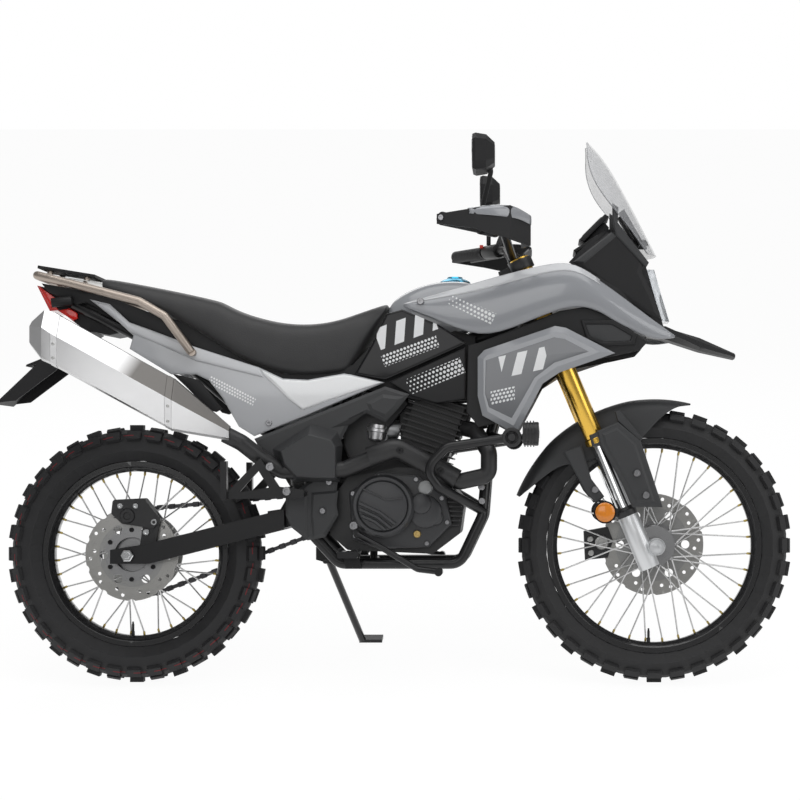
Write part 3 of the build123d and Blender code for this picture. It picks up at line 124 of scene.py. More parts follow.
class Finish:
    """A material under construction: its shader's fixed values, and the nodes that vary over the surface."""

    def __init__(self, name, colour, roughness, **fixed):
        self.material = bpy.data.materials.new(name)
        self.material.use_nodes = True
        self.tree = self.material.node_tree
        self.shader = self.tree.nodes["Principled BSDF"]
        self.shader.inputs["Base Color"].default_value = (*colour, 1)
        self.shader.inputs["Roughness"].default_value = roughness
        for socket, value in fixed.items():
            self.shader.inputs[socket.replace("_", " ").title().replace("Ior", "IOR")].default_value = value

    def add(self, kind, settings, *values, out=0, **named):
        """Adds a node, its settings first, then the values or links of its sockets."""
        node = self.tree.nodes.new(kind)
        for key, value in settings.items():
            setattr(node, key, value)
        for key, value in [*enumerate(values), *named.items()]:
            if isinstance(value, Wire):
                self.tree.links.new(value.socket, node.inputs[key])
            else:
                node.inputs[key].default_value = value
        return Wire(self, node.outputs[out])

    def feed(self, socket, value):
        self.tree.links.new(value.socket, self.shader.inputs[socket])
        return self

    def place(self):
        """Object coordinates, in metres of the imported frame."""
        return self.add("ShaderNodeTexCoord", {}, out="Object")

    def upright(self):
        """X, Y and Z of the upright machine, in metres from the line under the rear axle."""
        raised = self.add("ShaderNodeMapping", {"vector_type": "POINT"}, Vector=self.place(),
                          Location=UPRIGHT.to_translation() * MM, Rotation=(LEAN, 0, 0))
        split = self.add("ShaderNodeSeparateXYZ", {}, raised)
        return [Wire(self, socket) for socket in split.socket.node.outputs]

    def noise(self, scale, detail=3.0, where=None):
        return self.add("ShaderNodeTexNoise", {}, Vector=where or self.place(), Scale=scale, Detail=detail)

    def grain(self, scale):
        return self.add("ShaderNodeTexVoronoi", {}, Vector=self.place(), Scale=scale)

    def blend(self, share, one, other):
        """A colour between two, by a share."""
        mix = self.add("ShaderNodeMix", {"data_type": "RGBA"}, share, out=2)
        node = mix.socket.node
        for index, colour in ((6, one), (7, other)):
            if isinstance(colour, Wire):
                self.tree.links.new(colour.socket, node.inputs[index])
            else:
                node.inputs[index].default_value = (*colour, 1)
        return mix

    def inside(self, wire, low, high):
        """1 where a wire lies between two values."""
        return (wire > low) * (wire < high)

    def field(self, along, across, start, end, low, high):
        """1 inside a rectangle of two distances."""
        return self.inside(along, start, end) * self.inside(across, low, high)

    def dots(self, along, across, pitch, radius):
        """Round dots on a staggered grid, with a radius as a share of the pitch."""
        shift = (across / pitch).math("FLOOR").math("MODULO", 2.0) * (pitch / 2)
        u, v = (along + shift).cell(pitch) - 0.5, across.cell(pitch) - 0.5
        return (u * u + v * v).math("SQRT") < radius

    def radius(self, centre):
        """Distance from an axle, whose centre is in millimetres, and the turn round it."""
        x, _, z = self.upright()
        u, v = x - centre.x * MM, z - centre.z * MM
        return (u * u + v * v).math("SQRT"), v.math("ARCTAN2", u)

    def tint(self, share, colour, dark, light):
        """Feeds a colour that runs between two multiples of itself."""
        ends = [[part * by for part in colour] for by in (dark, light)]
        return self.feed("Base Color", self.blend(share, *ends))

    def gloss(self, share, roughness, down, up):
        """Feeds a roughness that runs from a little below a value to a little above it."""
        low, high = roughness - down, roughness + up
        return self.feed("Roughness", share * (high - low) + low)

    def bump(self, height, strength, depth):
        """Raises the surface by a height, on top of any bump before it."""
        wire = self.add("ShaderNodeBump", {}, Strength=strength, Distance=depth, Height=height)
        normal = self.shader.inputs["Normal"]
        if normal.is_linked:
            self.tree.links.new(normal.links[0].from_socket, wire.socket.node.inputs["Normal"])
        return self.feed("Normal", wire)


# Scales of the fine patterns, in cells a metre
CLOUD, PEEL, FLAKE, STREAK, DUST = 7.0, 160.0, 2600.0, 60.0, 22.0


def moulded(name, colour, roughness, grain=0.35, size=900.0, **fixed):
    """Moulded plastic with a fine sand grain, a little cloudy in its gloss."""
    finish = Finish(name, colour, roughness, **fixed)
    cloud = finish.noise(CLOUD)
    finish.gloss(cloud, roughness, 0.08, 0.1)
    finish.tint(cloud, colour, 0.86, 1.12)
    return finish.bump(finish.grain(size), grain, 0.0002)


def lacquered(name, colour, roughness=0.22, coat=0.6, **fixed):
    """Sprayed paint under clear lacquer, with a faint orange peel."""
    finish = Finish(name, colour, roughness, coat_weight=coat, coat_roughness=0.06, **fixed)
    peel = finish.noise(PEEL, 1.0)
    flake = finish.noise(FLAKE, 0.0)
    finish.tint(flake, colour, 0.93, 1.07)
    return finish.bump(peel, 0.05, 0.0004)


def metal(name, colour, roughness, streak=0.0, along=(1.0, 1.0, 1.0), **fixed):
    """Bare metal with fine machining or brushing streaks."""
    finish = Finish(name, colour, roughness, metallic=1.0, **fixed)
    where = finish.add("ShaderNodeMapping", {}, Vector=finish.place(), Scale=along)
    lines = finish.noise(STREAK, 5.0, where)
    finish.gloss(lines, roughness, 0.06, 0.1)
    if streak:
        finish.bump(lines, streak, 0.0003)
    return finish


def rubber(name, colour=(0.017, 0.017, 0.018), roughness=0.62):
    """Black rubber, dusty and slightly uneven."""
    finish = Finish(name, colour, roughness)
    dust = finish.noise(DUST, 6.0)
    finish.tint(dust, colour, 0.7, 1.6)
    finish.gloss(dust, roughness, 0.1, 0.14)
    return finish.bump(finish.noise(420.0, 2.0), 0.3, 0.0004)


GREY_GLOSS = lacquered("grey_gloss", (0.30, 0.31, 0.33))
GREY_DARK = lacquered("grey_dark", (0.165, 0.172, 0.185), 0.26)
SILVER_PANEL = lacquered("silver_panel", (0.56, 0.57, 0.59), 0.18)
BLACK_GLOSS = lacquered("black_gloss", (0.008, 0.008, 0.009), 0.14, 0.1, specular_ior_level=0.25)
BLACK_MATTE = moulded("black_matte", (0.013, 0.013, 0.014), 0.5, specular_ior_level=0.35)
GREY_MATTE = moulded("grey_matte", (0.036, 0.037, 0.039), 0.52)
ENGINE_BLACK = moulded("engine_black", (0.018, 0.018, 0.019), 0.42, 0.5, 700.0)
ENGINE_GREY = moulded("engine_grey", (0.042, 0.043, 0.046), 0.4, 0.4, 800.0)
FRAME_BLACK = lacquered("frame_black", (0.010, 0.010, 0.011), 0.34, 0.15, specular_ior_level=0.35)
RIM_BLACK = lacquered("rim_black", (0.010, 0.010, 0.011), 0.25)
RUBBER = rubber("rubber")
STEEL = metal("steel", (0.50, 0.50, 0.49), 0.3, 0.15)
BOLT_STEEL = metal("bolt_steel", (0.30, 0.30, 0.31), 0.28)
CHROME = metal("chrome", (0.78, 0.79, 0.80), 0.1)
ALLOY = metal("alloy", (0.66, 0.66, 0.67), 0.3, 0.12, (0.35, 8.0, 8.0))
CAST = metal("cast_alloy", (0.56, 0.57, 0.58), 0.42, 0.25)
GOLD = metal("gold", (0.80, 0.50, 0.09), 0.22)
BRASS = metal("brass", (0.55, 0.40, 0.16), 0.3)
CHAMPAGNE = metal("champagne", (0.45, 0.39, 0.34), 0.38)
CAP_BLUE = metal("cap_blue", (0.05, 0.36, 0.55), 0.2)
CHAIN_STEEL = metal("chain_steel", (0.10, 0.10, 0.105), 0.42)
FILLER_GREY = moulded("filler_grey", (0.42, 0.43, 0.43), 0.4)
SWITCH_RED = moulded("switch_red", (0.55, 0.03, 0.015), 0.4)
OLIVE = moulded("olive_plug", (0.13, 0.13, 0.07), 0.5)
RED_LENS = Finish("red_lens", (0.72, 0.022, 0.014), 0.12, coat_weight=0.3)
AMBER_LENS = Finish("amber_lens", (0.80, 0.25, 0.015), 0.15, coat_weight=0.5)
CLEAR_LENS = Finish("clear_lens", (0.80, 0.83, 0.86), 0.06, transmission_weight=0.7, ior=1.45)
SCREEN_CLEAR = Finish("screen_clear", (0.56, 0.57, 0.59), 0.05, alpha=0.27, coat_weight=0.3)
SCREEN_EDGE = Finish("screen_edge", (0.36, 0.37, 0.39), 0.08, alpha=0.8)
# Near-white lacquer of a painted highlight, on the tail panel's upper face
PAINTED_HIGHLIGHT = lacquered("painted_highlight", (0.86, 0.87, 0.88), 0.16)


LINE_HALF, DASH_SHARE, LINE_RED = 1.1, 0.55, (0.20, 0.010, 0.016)


def tyre_rubber(name, centre, line_r, dashes):
    """Tyre rubber with a broken red line round the shoulder."""
    finish = rubber(name)
    distance, turn = finish.radius(centre)
    line = finish.inside(distance, (line_r - LINE_HALF) * MM, (line_r + LINE_HALF) * MM)
    broken = turn.cell(2 * pi / dashes) < DASH_SHARE
    dust = finish.blend(finish.noise(DUST, 6.0), (0.012, 0.012, 0.013), (0.027, 0.027, 0.029))
    return finish.feed("Base Color", finish.blend(line * broken, dust, LINE_RED))


def ringed(name, centre, inner_r, outer_r, colours, roughness=0.3):
    """Metal in three rings round an axle: inside a radius, between two radii, and beyond the second."""
    finish = Finish(name, colours[1], roughness, metallic=1.0)
    distance, turn = finish.radius(centre)
    core, edge = distance < inner_r * MM, distance > outer_r * MM
    ring = finish.blend(core, colours[1], colours[0])
    finish.feed("Base Color", finish.blend(edge, ring, colours[2]))
    wear = finish.noise(1.0, 3.0, finish.add("ShaderNodeCombineXYZ", {}, distance * 2500.0, turn * 3.0, 0.0))
    finish.gloss(wear, roughness, 0.1, 0.12)
    return finish.bump(wear, 0.15, 0.0002)


REAR_CENTRE, FRONT_CENTRE = Vector((0, 0, REAR_Z)), Vector((WHEELBASE, 0, FRONT_Z))
REAR_RIM_R, FRONT_RIM_R = 242.0, 281.0
GREY, SILVER, NIPPLE = (0.36, 0.36, 0.355), (0.62, 0.62, 0.62), (0.42, 0.32, 0.10)
HUB, WARM = (0.34, 0.34, 0.345), (0.42, 0.415, 0.40)
REAR_RUBBER = tyre_rubber("rear_rubber", REAR_CENTRE, 309, 36)
FRONT_RUBBER = rubber("front_rubber")
REAR_SPOKES = ringed("rear_spokes", REAR_CENTRE, 66, REAR_RIM_R - 38, (HUB, SILVER, NIPPLE))
FRONT_SPOKES = ringed("front_spokes", FRONT_CENTRE, 58, FRONT_RIM_R - 38, (HUB, SILVER, NIPPLE))
REAR_BRAKE = ringed("rear_brake", REAR_CENTRE, 70, 84, (HUB, GREY, WARM))
FRONT_BRAKE = ringed("front_brake", FRONT_CENTRE, 62, 98, (HUB, GREY, WARM))

SLIDER_FOOT = 0.111
FORK_STEEL = Finish("fork_steel", (0.6, 0.6, 0.61), 0.3, metallic=1.0)
fork_x, _, fork_z = FORK_STEEL.upright()
fork_up = (fork_x - FORK_FOOT.x * MM) * FORK_UP.x + (fork_z - FORK_FOOT.z * MM) * FORK_UP.z
slider = fork_up > SLIDER_FOOT
FORK_STEEL.feed("Base Color", FORK_STEEL.blend(slider, (0.70, 0.71, 0.72), (0.80, 0.81, 0.82)))
FORK_STEEL.feed("Roughness", slider * -0.32 + 0.42)
FORK_STEEL.bump(FORK_STEEL.noise(300.0) * (1 - slider), 0.25, 0.0004)

GRIP_START, GRIP_PITCH = 0.284, 0.007
GRIPS = Finish("bar_and_grips", (0.014, 0.014, 0.015), 0.4)
_, bar_y, _ = GRIPS.upright()
grip = abs(bar_y) > GRIP_START
GRIPS.feed("Roughness", grip * 0.3 + 0.35)
GRIPS.bump(abs(bar_y.cell(GRIP_PITCH) - 0.5) * grip, 0.9, 0.003)


def printed(name, paper, ink, roughness, marks, coat=0.6, **fixed):
    """Lacquer with a printed pattern, made by a function of the place along and up the machine."""
    finish = lacquered(name, paper, roughness, coat, **fixed)
    x, _, z = finish.upright()
    return finish.feed("Base Color", finish.blend(marks(finish, x, z), paper, ink))


def leaning(x, z, tilt):
    """Distances along and across a line that rises at a tilt."""
    turn = radians(tilt)
    return x * cos(turn) + z * sin(turn), z * cos(turn) - x * sin(turn)


# Distances of the prints are in metres, and a dot's radius is a share of its pitch
DOT_PITCH, DOT_SHARE, FINE_PITCH, WIDE_PITCH = 0.0095, 0.36, 0.0075, 0.0105


def cover_stripes(finish, x, z):
    """Slanted bars over the side cover, and a band of dots below them."""
    along, across = leaning(x, z, 20)
    bars = (along - across * 0.45).cell(0.052) < 0.5
    field = finish.field(along, across, 0.905, 1.062, 0.592, 0.648)
    band = finish.field(along, across, 0.90, 1.05, 0.548, 0.580)
    return bars * field + finish.dots(along, across, DOT_PITCH, DOT_SHARE) * band


def lower_dots(finish, x, z):
    """A band of dots that grow forward, under the seam of the side cover."""
    along, across = leaning(x, z, 22)
    band = finish.field(along, across, 0.955, 1.105, 0.425, 0.466)
    return finish.dots(along, across, WIDE_PITCH, (along - 0.80) * 1.4) * band


def shroud_marks(finish, x, z):
    """Slanted bars near the shroud's top and a field of dots at its foot."""
    along, across = leaning(x, z, 12)
    bars = finish.inside((along - across * 0.5).cell(0.056), 0.0, 0.46)
    field = finish.field(along, across, 1.105, 1.225, 0.575, 0.630)
    foot = finish.field(x, across, 0.930, 0.992, 0.512, 0.548)
    return bars * field + finish.dots(x, across, DOT_PITCH, DOT_SHARE) * foot


def tank_dots(finish, x, z):
    """A band of dots along the tank panel's lower edge, which grow forward."""
    along, across = leaning(x, z, -26)
    band = finish.field(along, across, 0.305, 0.430, 1.243, 1.273)
    return finish.dots(along, across, WIDE_PITCH, (along - 0.19) * 1.7) * band


def tail_dots(finish, x, z):
    """A narrow band of dots down the tail panel."""
    along, across = leaning(x, z, -27)
    band = finish.field(along, across, -0.175, -0.045, 0.788, 0.810)
    return finish.dots(along, across, FINE_PITCH, DOT_SHARE) * band


WHITE = (0.80, 0.81, 0.82)
COVER_PRINT = printed("cover_print", (0.008, 0.008, 0.009), WHITE, 0.14, cover_stripes, 0.1,
                      specular_ior_level=0.25)
LOWER_PRINT = printed("lower_print", (0.012, 0.012, 0.013), WHITE, 0.4, lower_dots, 0.0,
                      specular_ior_level=0.3)
SHROUD_PRINT = printed("shroud_print", (0.150, 0.156, 0.168), WHITE, 0.26, shroud_marks)
TANK_PRINT = printed("tank_print", (0.30, 0.31, 0.33), WHITE, 0.22, tank_dots)
TAIL_PRINT = printed("tail_print", (0.48, 0.49, 0.51), (0.92, 0.92, 0.93), 0.2, tail_dots)

# Silencer: bright alloy, with a painted dark reflection over the front of its top face
CAN_START, CAN_END = Vector((262, 0, 648)), Vector((-212, 0, 890))
CAN_ALONG = (CAN_END - CAN_START).normalized()
CAN_UP = Vector((CAN_ALONG.z, 0, -CAN_ALONG.x))
SEAM_SLOPE, SEAM_HEIGHT = 0.0327, 0.0130
DARK_REFLECTION_END, DARK_REFLECTION_FADE = 0.32, 18.0
CAN = metal("can_alloy", (0.66, 0.66, 0.67), 0.3, 0.12, (0.35, 8.0, 8.0))
can_x, _, can_z = CAN.upright()
can_x, can_z = can_x - CAN_START.x * MM, can_z - CAN_START.z * MM
can_reach = can_x * CAN_ALONG.x + can_z * CAN_ALONG.z
can_rise = can_x * CAN_UP.x + can_z * CAN_UP.z
can_top = can_rise > can_reach * SEAM_SLOPE + SEAM_HEIGHT
# Painted dark reflection: the top face is darkened over the front of the can and fades out towards the rear
dark_reflection = ((DARK_REFLECTION_END - can_reach) * DARK_REFLECTION_FADE).math("MINIMUM", 1.0).math("MAXIMUM", 0.0)
CAN.feed("Base Color", CAN.blend(can_top * dark_reflection, (0.66, 0.66, 0.665), (0.12, 0.115, 0.11)))

FINISHES = {
    REAR_RUBBER: "rear_tyre", FRONT_RUBBER: "front_tyre", RIM_BLACK: "rear_rim front_rim",
    REAR_SPOKES: "rear_hub", FRONT_SPOKES: "front_hub", REAR_BRAKE: "rear_disc", FRONT_BRAKE: "front_disc",
    FRAME_BLACK: "main_frame rear_subframe swingarm crash_bars footpegs foot_controls side_stand",
    ENGINE_BLACK: "crankcase cylinder exhaust_header rear_caliper rear_shock fog_lamps triple_clamps"
                  " front_caliper controls",
    BLACK_MATTE: "scoop_panels rear_mudguard luggage_rack indicators front_cowl beak dash hand_guards"
                 " mirrors",
    GREY_MATTE: "lower_covers front_mudguard", GREY_GLOSS: "fuel_tank tank_panels", GREY_DARK: "shrouds",
    BLACK_GLOSS: "side_covers", SILVER_PANEL: "tail_panels", ENGINE_GREY: "clutch_cover", CAN: "silencer",
    CAST: "carburettor", STEEL: "rear_sprocket", CHAIN_STEEL: "drive_chain", CHAMPAGNE: "grab_rail",
    RED_LENS: "tail_lamp", CLEAR_LENS: "headlamp", SCREEN_CLEAR: "windscreen", CAP_BLUE: "fuel_cap",
    GOLD: "fork_uppers", FORK_STEEL: "fork_lowers", GRIPS: "handlebar"}

# Each solid gets its finish here, and pieces that replace one bring their own
for finish, names in FINISHES.items():
    for name in names.split():
        nodes[name].data.materials.clear()
        nodes[name].data.materials.append(finish.material)


# Meshes

SAME_PLACE = 0.01


def piece(name, mesh, finish, *replaced, body="frame", crease=35.0):
    """Makes an object of a bmesh drawn on the upright machine and lets it ride a body."""
    bmesh.ops.remove_doubles(mesh, verts=mesh.verts, dist=SAME_PLACE)
    bmesh.ops.recalc_face_normals(mesh, faces=mesh.faces)
    mesh.transform(BIKE)
    data = bpy.data.meshes.new(name)
    mesh.to_mesh(data)
    mesh.free()
    made = bpy.data.objects.new(name, data)
    bpy.context.scene.collection.objects.link(made)
    data.materials.append(finish.material)
    data.polygons.foreach_set("use_smooth", [True] * len(data.polygons))
    if crease:
        data.set_sharp_from_angle(angle=radians(crease))
    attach(made, body)
    if replaced:
        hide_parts(*replaced)
    return made


def subdivide(made, levels):
    """Rounds a piece by subdivision, the same in view and render."""
    subdivision = made.modifiers.new("subdivision", "SUBSURF")
    subdivision.levels = levels
    subdivision.render_levels = levels
    subdivision.boundary_smooth = "PRESERVE_CORNERS"
    return made


def skin(rings, closed=True):
    """A skin over rings of points, each bridged to the next, with closed rings capped at both ends."""
    mesh = bmesh.new()
    loops = []
    for ring in rings:
        verts = [mesh.verts.new(point) for point in ring]
        pairs = list(zip(verts, verts[1:]))
        if closed:
            pairs.append((verts[-1], verts[0]))
        loops.append([mesh.edges.new(pair) for pair in pairs])
    for near, far in zip(loops, loops[1:]):
        bmesh.ops.bridge_loops(mesh, edges=near + far)
    if closed:
        for loop in (loops[0], loops[-1]):
            bmesh.ops.contextual_create(mesh, geom=loop)
    return mesh


# Seat

VINYL = Finish("seat_vinyl", (0.022, 0.022, 0.023), 0.48, sheen_weight=0.15)
VINYL.feed("Base Color", VINYL.blend(VINYL.noise(9.0), (0.017, 0.017, 0.018), (0.027, 0.027, 0.028)))
VINYL.gloss(VINYL.noise(30.0), 0.48, 0.06, 0.1)
VINYL.bump(VINYL.grain(420.0), 0.4, 0.0006)

SEAT_ROWS = [
    # x, bottom z, top z, half width at the bottom and at the top
    (-82, 1034, 1052, 80, 70), (-66, 1018, 1056, 92, 80), (20, 990, 1040, 105, 91),
    (130, 941, 1019, 112, 98), (212, 890, 1000, 116, 102), (232, 878, 995, 116, 103),
    (262, 858, 978, 118, 104), (308, 832, 959, 118, 106), (400, 799, 936, 116, 104),
    (490, 797, 938, 106, 94), (548, 799, 954, 98, 84), (564, 810, 960, 96, 80), (622, 909, 980, 84, 64),
    (654, 964, 990, 76, 56), (661, 977, 988, 72, 54)]


def both_halves(x, side):
    """A closed section at a place along the machine, from the points of its left half."""
    return [Vector((x, y, z)) for y, z in side] + [Vector((x, -y, z)) for y, z in side[-2:0:-1]]


def seat_ring(x, low, high, wide, top):
    """Section of the seat: flat below, full at the sides and lightly dished on top."""
    tall = high - low
    side = [(0, low), (wide * 0.8, low), (wide, low + tall * 0.12), (wide, low + tall * 0.45),
            (top, high - tall * 0.14), (top * 0.78, high - tall * 0.02), (top * 0.4, high), (0, high - 2)]
    return both_halves(x, side)


seat = piece("seat_cover", skin([seat_ring(*row) for row in SEAT_ROWS]), VINYL, "seat", crease=0)
subdivide(seat, 3)

# Side panels


def mirrored(mesh):
    """Adds the mirror image on the other side of the machine."""
    bmesh.ops.mirror(mesh, geom=mesh.verts[:] + mesh.edges[:] + mesh.faces[:], axis="Y", merge_dist=0.0)
    return mesh


def flat(outlines, edge, depth, wall, rolls):
    """A flat curve filled inside its outlines, with a rolled or chamfered edge, lying in X and Y."""
    curve = bpy.data.curves.new("outline", "CURVE")
    curve.dimensions = "2D"
    curve.fill_mode = "BOTH"
    curve.offset = -edge
    curve.bevel_depth = edge
    curve.bevel_resolution = rolls
    curve.extrude = max(wall * edge / depth / 2 - edge, 0.01)
    for outline in outlines:
        spline = curve.splines.new("POLY")
        spline.points.add(len(outline) - 1)
        for point, (x, z) in zip(spline.points, outline):
            point.co = (x, z, 0, 1)
        spline.use_cyclic_u = True
    holder = bpy.data.objects.new("outline", curve)
    filled = bpy.data.meshes.new_from_object(holder)
    mesh = bmesh.new()
    mesh.from_mesh(filled)
    bmesh.ops.scale(mesh, vec=(1, 1, depth / edge), verts=mesh.verts)
    bpy.data.objects.remove(holder)
    bpy.data.curves.remove(curve)
    bpy.data.meshes.remove(filled)
    return mesh


def panel(outline, reach, slope, edge, depth, wall, rolls, holes=(), mirror=True):
    """A moulded panel on the right with its outer face at a reach from the middle, and its mirror image."""
    mesh = flat([outline, *holes], edge, depth, wall, rolls)
    start = outline[0][0]
    for vert in mesh.verts:
        x, z, out = vert.co
        vert.co = (x, -reach - slope * (x - start) - out + wall / 2, z)
    return mirrored(mesh) if mirror else mesh


def joined(meshes):
    """One mesh of several."""
    whole, *rest = meshes
    for mesh in rest:
        spare = bpy.data.meshes.new("spare")
        mesh.to_mesh(spare)
        mesh.free()
        whole.from_mesh(spare)
        bpy.data.meshes.remove(spare)
    return whole


def rounded(made, width, angle, segments=3):
    """Rounds the edges of a piece that are sharper than an angle."""
    bevel = made.modifiers.new("bevel", "BEVEL")
    bevel.width = width * MM
    bevel.segments = segments
    bevel.limit_method = "ANGLE"
    bevel.angle_limit = radians(angle)
    bevel.harden_normals = True
    return made


def moulding(name, finish, *cuts, replaces="", body="frame", roll=0.0):
    """One piece of several panels, each cut with panel()'s values, and with its edges rounded by a roll."""
    made = piece(name, joined([panel(*cut) for cut in cuts]), finish, *replaces.split(), body=body)
    return rounded(made, roll, 12) if roll else made


def soften(node, width):
    """Welds the loose triangles of a solid and rounds its sharp edges."""
    weld = node.modifiers.new("weld", "WELD")
    weld.merge_threshold = 0.00002
    rounded(node, width, 35.0, 2)


SCOOP_REACH = 138.0
SHROUD = [(897, 846), (914, 864), (1094, 924), (1122, 919), (1246, 854), (1106, 806), (1063, 778),
          (1038, 730), (1000, 660), (985, 655), (909, 697), (897, 747)]
TAIL = [(-104, 998), (-51, 985), (0, 938), (56, 918), (172, 874), (334, 822), (396, 793), (460, 790),
        (553, 806), (571, 803), (658, 783), (447, 694), (322, 645), (282, 670), (241, 742), (205, 788),
        (172, 804), (108, 804), (0, 870), (10, 904), (-26, 937)]
LOWER_UP = [(325, 638), (660, 772), (722, 752), (694, 716), (660, 680), (612, 704), (572, 684), (541, 622),
            (545, 567), (381, 545), (348, 596)]
LOWER_DOWN = [(405, 487), (445, 515), (487, 543), (542, 560), (533, 481), (540, 443), (507, 386), (461, 378),
              (420, 411), (405, 443)]

SHROUD_FACE = [(918, 838), (1092, 895), (1118, 891), (1180, 858), (1092, 830), (1042, 792), (1012, 738),
               (984, 690), (926, 718), (916, 752)]
COVER_UPPER = [(580, 804), (624, 880), (662, 959), (703, 970), (799, 929), (866, 886), (866, 881), (660, 789)]
COVER_LOWER = [(668, 784), (866, 873), (866, 740), (790, 729), (724, 749)]
LOWER_FACET = [(382, 618), (470, 662), (512, 648), (534, 606), (443, 584), (428, 592)]
LOWER_STEP = [(612, 730), (654, 752), (708, 745), (692, 718), (662, 690), (622, 708)]
POCKET = [(522, 666), (588, 698), (606, 706), (600, 696), (572, 674)]
FLAP = [(406, 487), (432, 508), (458, 514), (462, 440), (462, 386), (420, 412), (406, 443)]
PIVOT_FACET = [(472, 500), (540, 506), (536, 470), (540, 443), (508, 390), (476, 384), (470, 440)]
TAIL_STRIP = [(-92, 990), (-52, 983), (0, 936), (56, 916), (172, 872), (334, 820), (346, 796), (172, 838),
              (60, 888), (0, 914), (-40, 952)]
# Outline of the painted highlight on the tail panel's upper face
TAIL_HIGHLIGHT = [(340, 816), (396, 790), (460, 787), (553, 803), (571, 800), (652, 782), (516, 738), (447, 712),
               (408, 742), (348, 800)]
VENT_FRAME = [(1160, 941), (1242, 942), (1304, 905), (1297, 878), (1218, 874), (1174, 892)]
VENT = [(1172, 930), (1238, 930), (1290, 900), (1286, 888), (1221, 885), (1184, 899)]
COWL_EDGE = [(1140, 1092), (1240, 1171), (1253, 1160), (1170, 1089)]
SCREEN_POST = [(1242, 1246), (1258, 1234), (1256, 1195), (1337, 1093), (1329, 1079), (1250, 1163),
               (1242, 1203)]
SCREEN_MOUNT = [(1262, 1226), (1274, 1234), (1322, 1150), (1312, 1138)]
TRIM = [(872, 876), (898, 883), (1005, 924), (1107, 965), (1170, 975), (1247, 947), (1331, 886), (1311, 866),
        (1247, 856), (1107, 915), (918, 858), (902, 846), (902, 736), (917, 698), (898, 672), (868, 705)]
SEAT_BASE = [(75, 950), (130, 945), (215, 893), (262, 863), (308, 837), (400, 806), (490, 806), (572, 830),
             (640, 900), (700, 930), (800, 925), (890, 905), (890, 745), (740, 738), (652, 758), (556, 770),
             (397, 752), (343, 776), (172, 850), (75, 900)]
INNER_FLAP = [(110, 806), (180, 790), (240, 716), (224, 707), (205, 712), (142, 776)]
RACK_RAIL = [(-224, 1064), (-80, 1044), (-62, 1026), (-205, 1045)]
AIR_BOX = [(548, 690), (600, 716), (704, 750), (716, 730), (690, 700), (664, 668), (640, 600), (560, 585),
           (546, 620)]
ENGINE_TOP = [(528, 552), (556, 588), (650, 600), (690, 594), (740, 560), (752, 528), (636, 528), (528, 520)]
INTAKE = [(684, 742), (750, 735), (742, 640), (694, 630)]
HEAD_FRONT = [(826, 735), (880, 728), (872, 690), (846, 636), (826, 640)]
BRACKET = [(1117, 605), (1163, 623), (1188, 536), (1222, 490), (1200, 471), (1172, 504)]
TAIL_LINER = [(-230, 1040), (-72, 1012), (75, 955), (160, 880), (75, 896), (-23, 944), (-113, 990),
              (-138, 984), (-212, 1017)]
LAMP_UPPER = [(-240, 1034), (-187, 997), (-208, 979)]
LAMP_LOWER = [(-190, 970), (-159, 976), (-139, 963), (-139, 949), (-150, 945)]
BULGE_FOOT = [(372, 612), (384, 560), (425, 528), (545, 528), (552, 622), (540, 655), (470, 676)]
BULGE_FACE = [(398, 606), (407, 574), (440, 539), (538, 537), (539, 617), (528, 635), (470, 650)]
COWL_SIDE = [(1136, 1092), (1228, 1168), (1262, 1172), (1326, 1096), (1318, 1070), (1350, 1004), (1372, 942),
             (1330, 962), (1238, 1024)]

# A cut has its outline, reach from the middle, slope along the machine, width and depth of its edge, wall,
# steps of the rolled edge, any holes, and False where it isn't mirrored
moulding("shroud_panels", GREY_GLOSS, (SHROUD, SCOOP_REACH + 13, 0.1, 15, 6, 13, 0), replaces="shrouds",
         roll=2.5)
moulding("shroud_faces", SHROUD_PRINT, (SHROUD_FACE, SCOOP_REACH + 16, 0.1, 3, 1, 4, 1), roll=1.0)
moulding("side_cover_panels", COVER_PRINT, (COVER_UPPER, 114, 0.05, 7, 4, 8, 4), replaces="side_covers")
moulding("side_cover_feet", LOWER_PRINT, (COVER_LOWER, 118, 0.05, 6, 4, 8, 4))
moulding("tail_side_panels", TAIL_PRINT, (TAIL, 101, 0.02, 5, 3, 6, 3), replaces="tail_panels")
moulding("tail_ridges", SILVER_PANEL, (TAIL_STRIP, 105, 0.02, 6, 4, 8, 3))
# The tail panel's upper face is painted near white as a highlight
moulding("tail_painted_highlights", PAINTED_HIGHLIGHT, (TAIL_HIGHLIGHT, 114, 0.02, 8, 5, 10, 4))
moulding("lower_cover_panels", GREY_MATTE, (LOWER_UP, 133, 0, 8, 5, 10, 0),
         (LOWER_FACET, 138, 0, 14, 7, 14, 0), (LOWER_STEP, 138, 0, 9, 5, 10, 0),
         (LOWER_DOWN, 131, 0, 7, 5, 10, 0), (FLAP, 136, 0, 6, 4, 8, 0), (PIVOT_FACET, 136, 0, 6, 4, 8, 0),
         replaces="lower_covers", roll=2.0)
BULGE_TOP = [(x + (468 - x) * 0.05, z + (592 - z) * 0.05) for x, z in BULGE_FACE]
bulge = skin([[(x, -y, z) for x, z in outline]
              for outline, y in ((BULGE_FOOT, 130), (BULGE_FACE, 184), (BULGE_TOP, 187))])
rounded(piece("exhaust_cover", bulge, GREY_MATTE), 3.0, 10)
moulding("lower_cover_pockets", BLACK_MATTE, (POCKET, 134, 0, 2, 1, 2.5, 1))
moulding("trim_panels", BLACK_MATTE, (TRIM, 137, 0, 4, 3, 8, 3))
moulding("seat_base", BLACK_MATTE, (SEAT_BASE, 88, 0, 4, 3, 6, 1))
moulding("air_box", ENGINE_BLACK, (AIR_BOX, 56, 0, 3, 3, 10, 0), roll=1.5)
moulding("engine_top", ENGINE_BLACK, (ENGINE_TOP, 52, 0, 3, 3, 60, 0), roll=1.5)
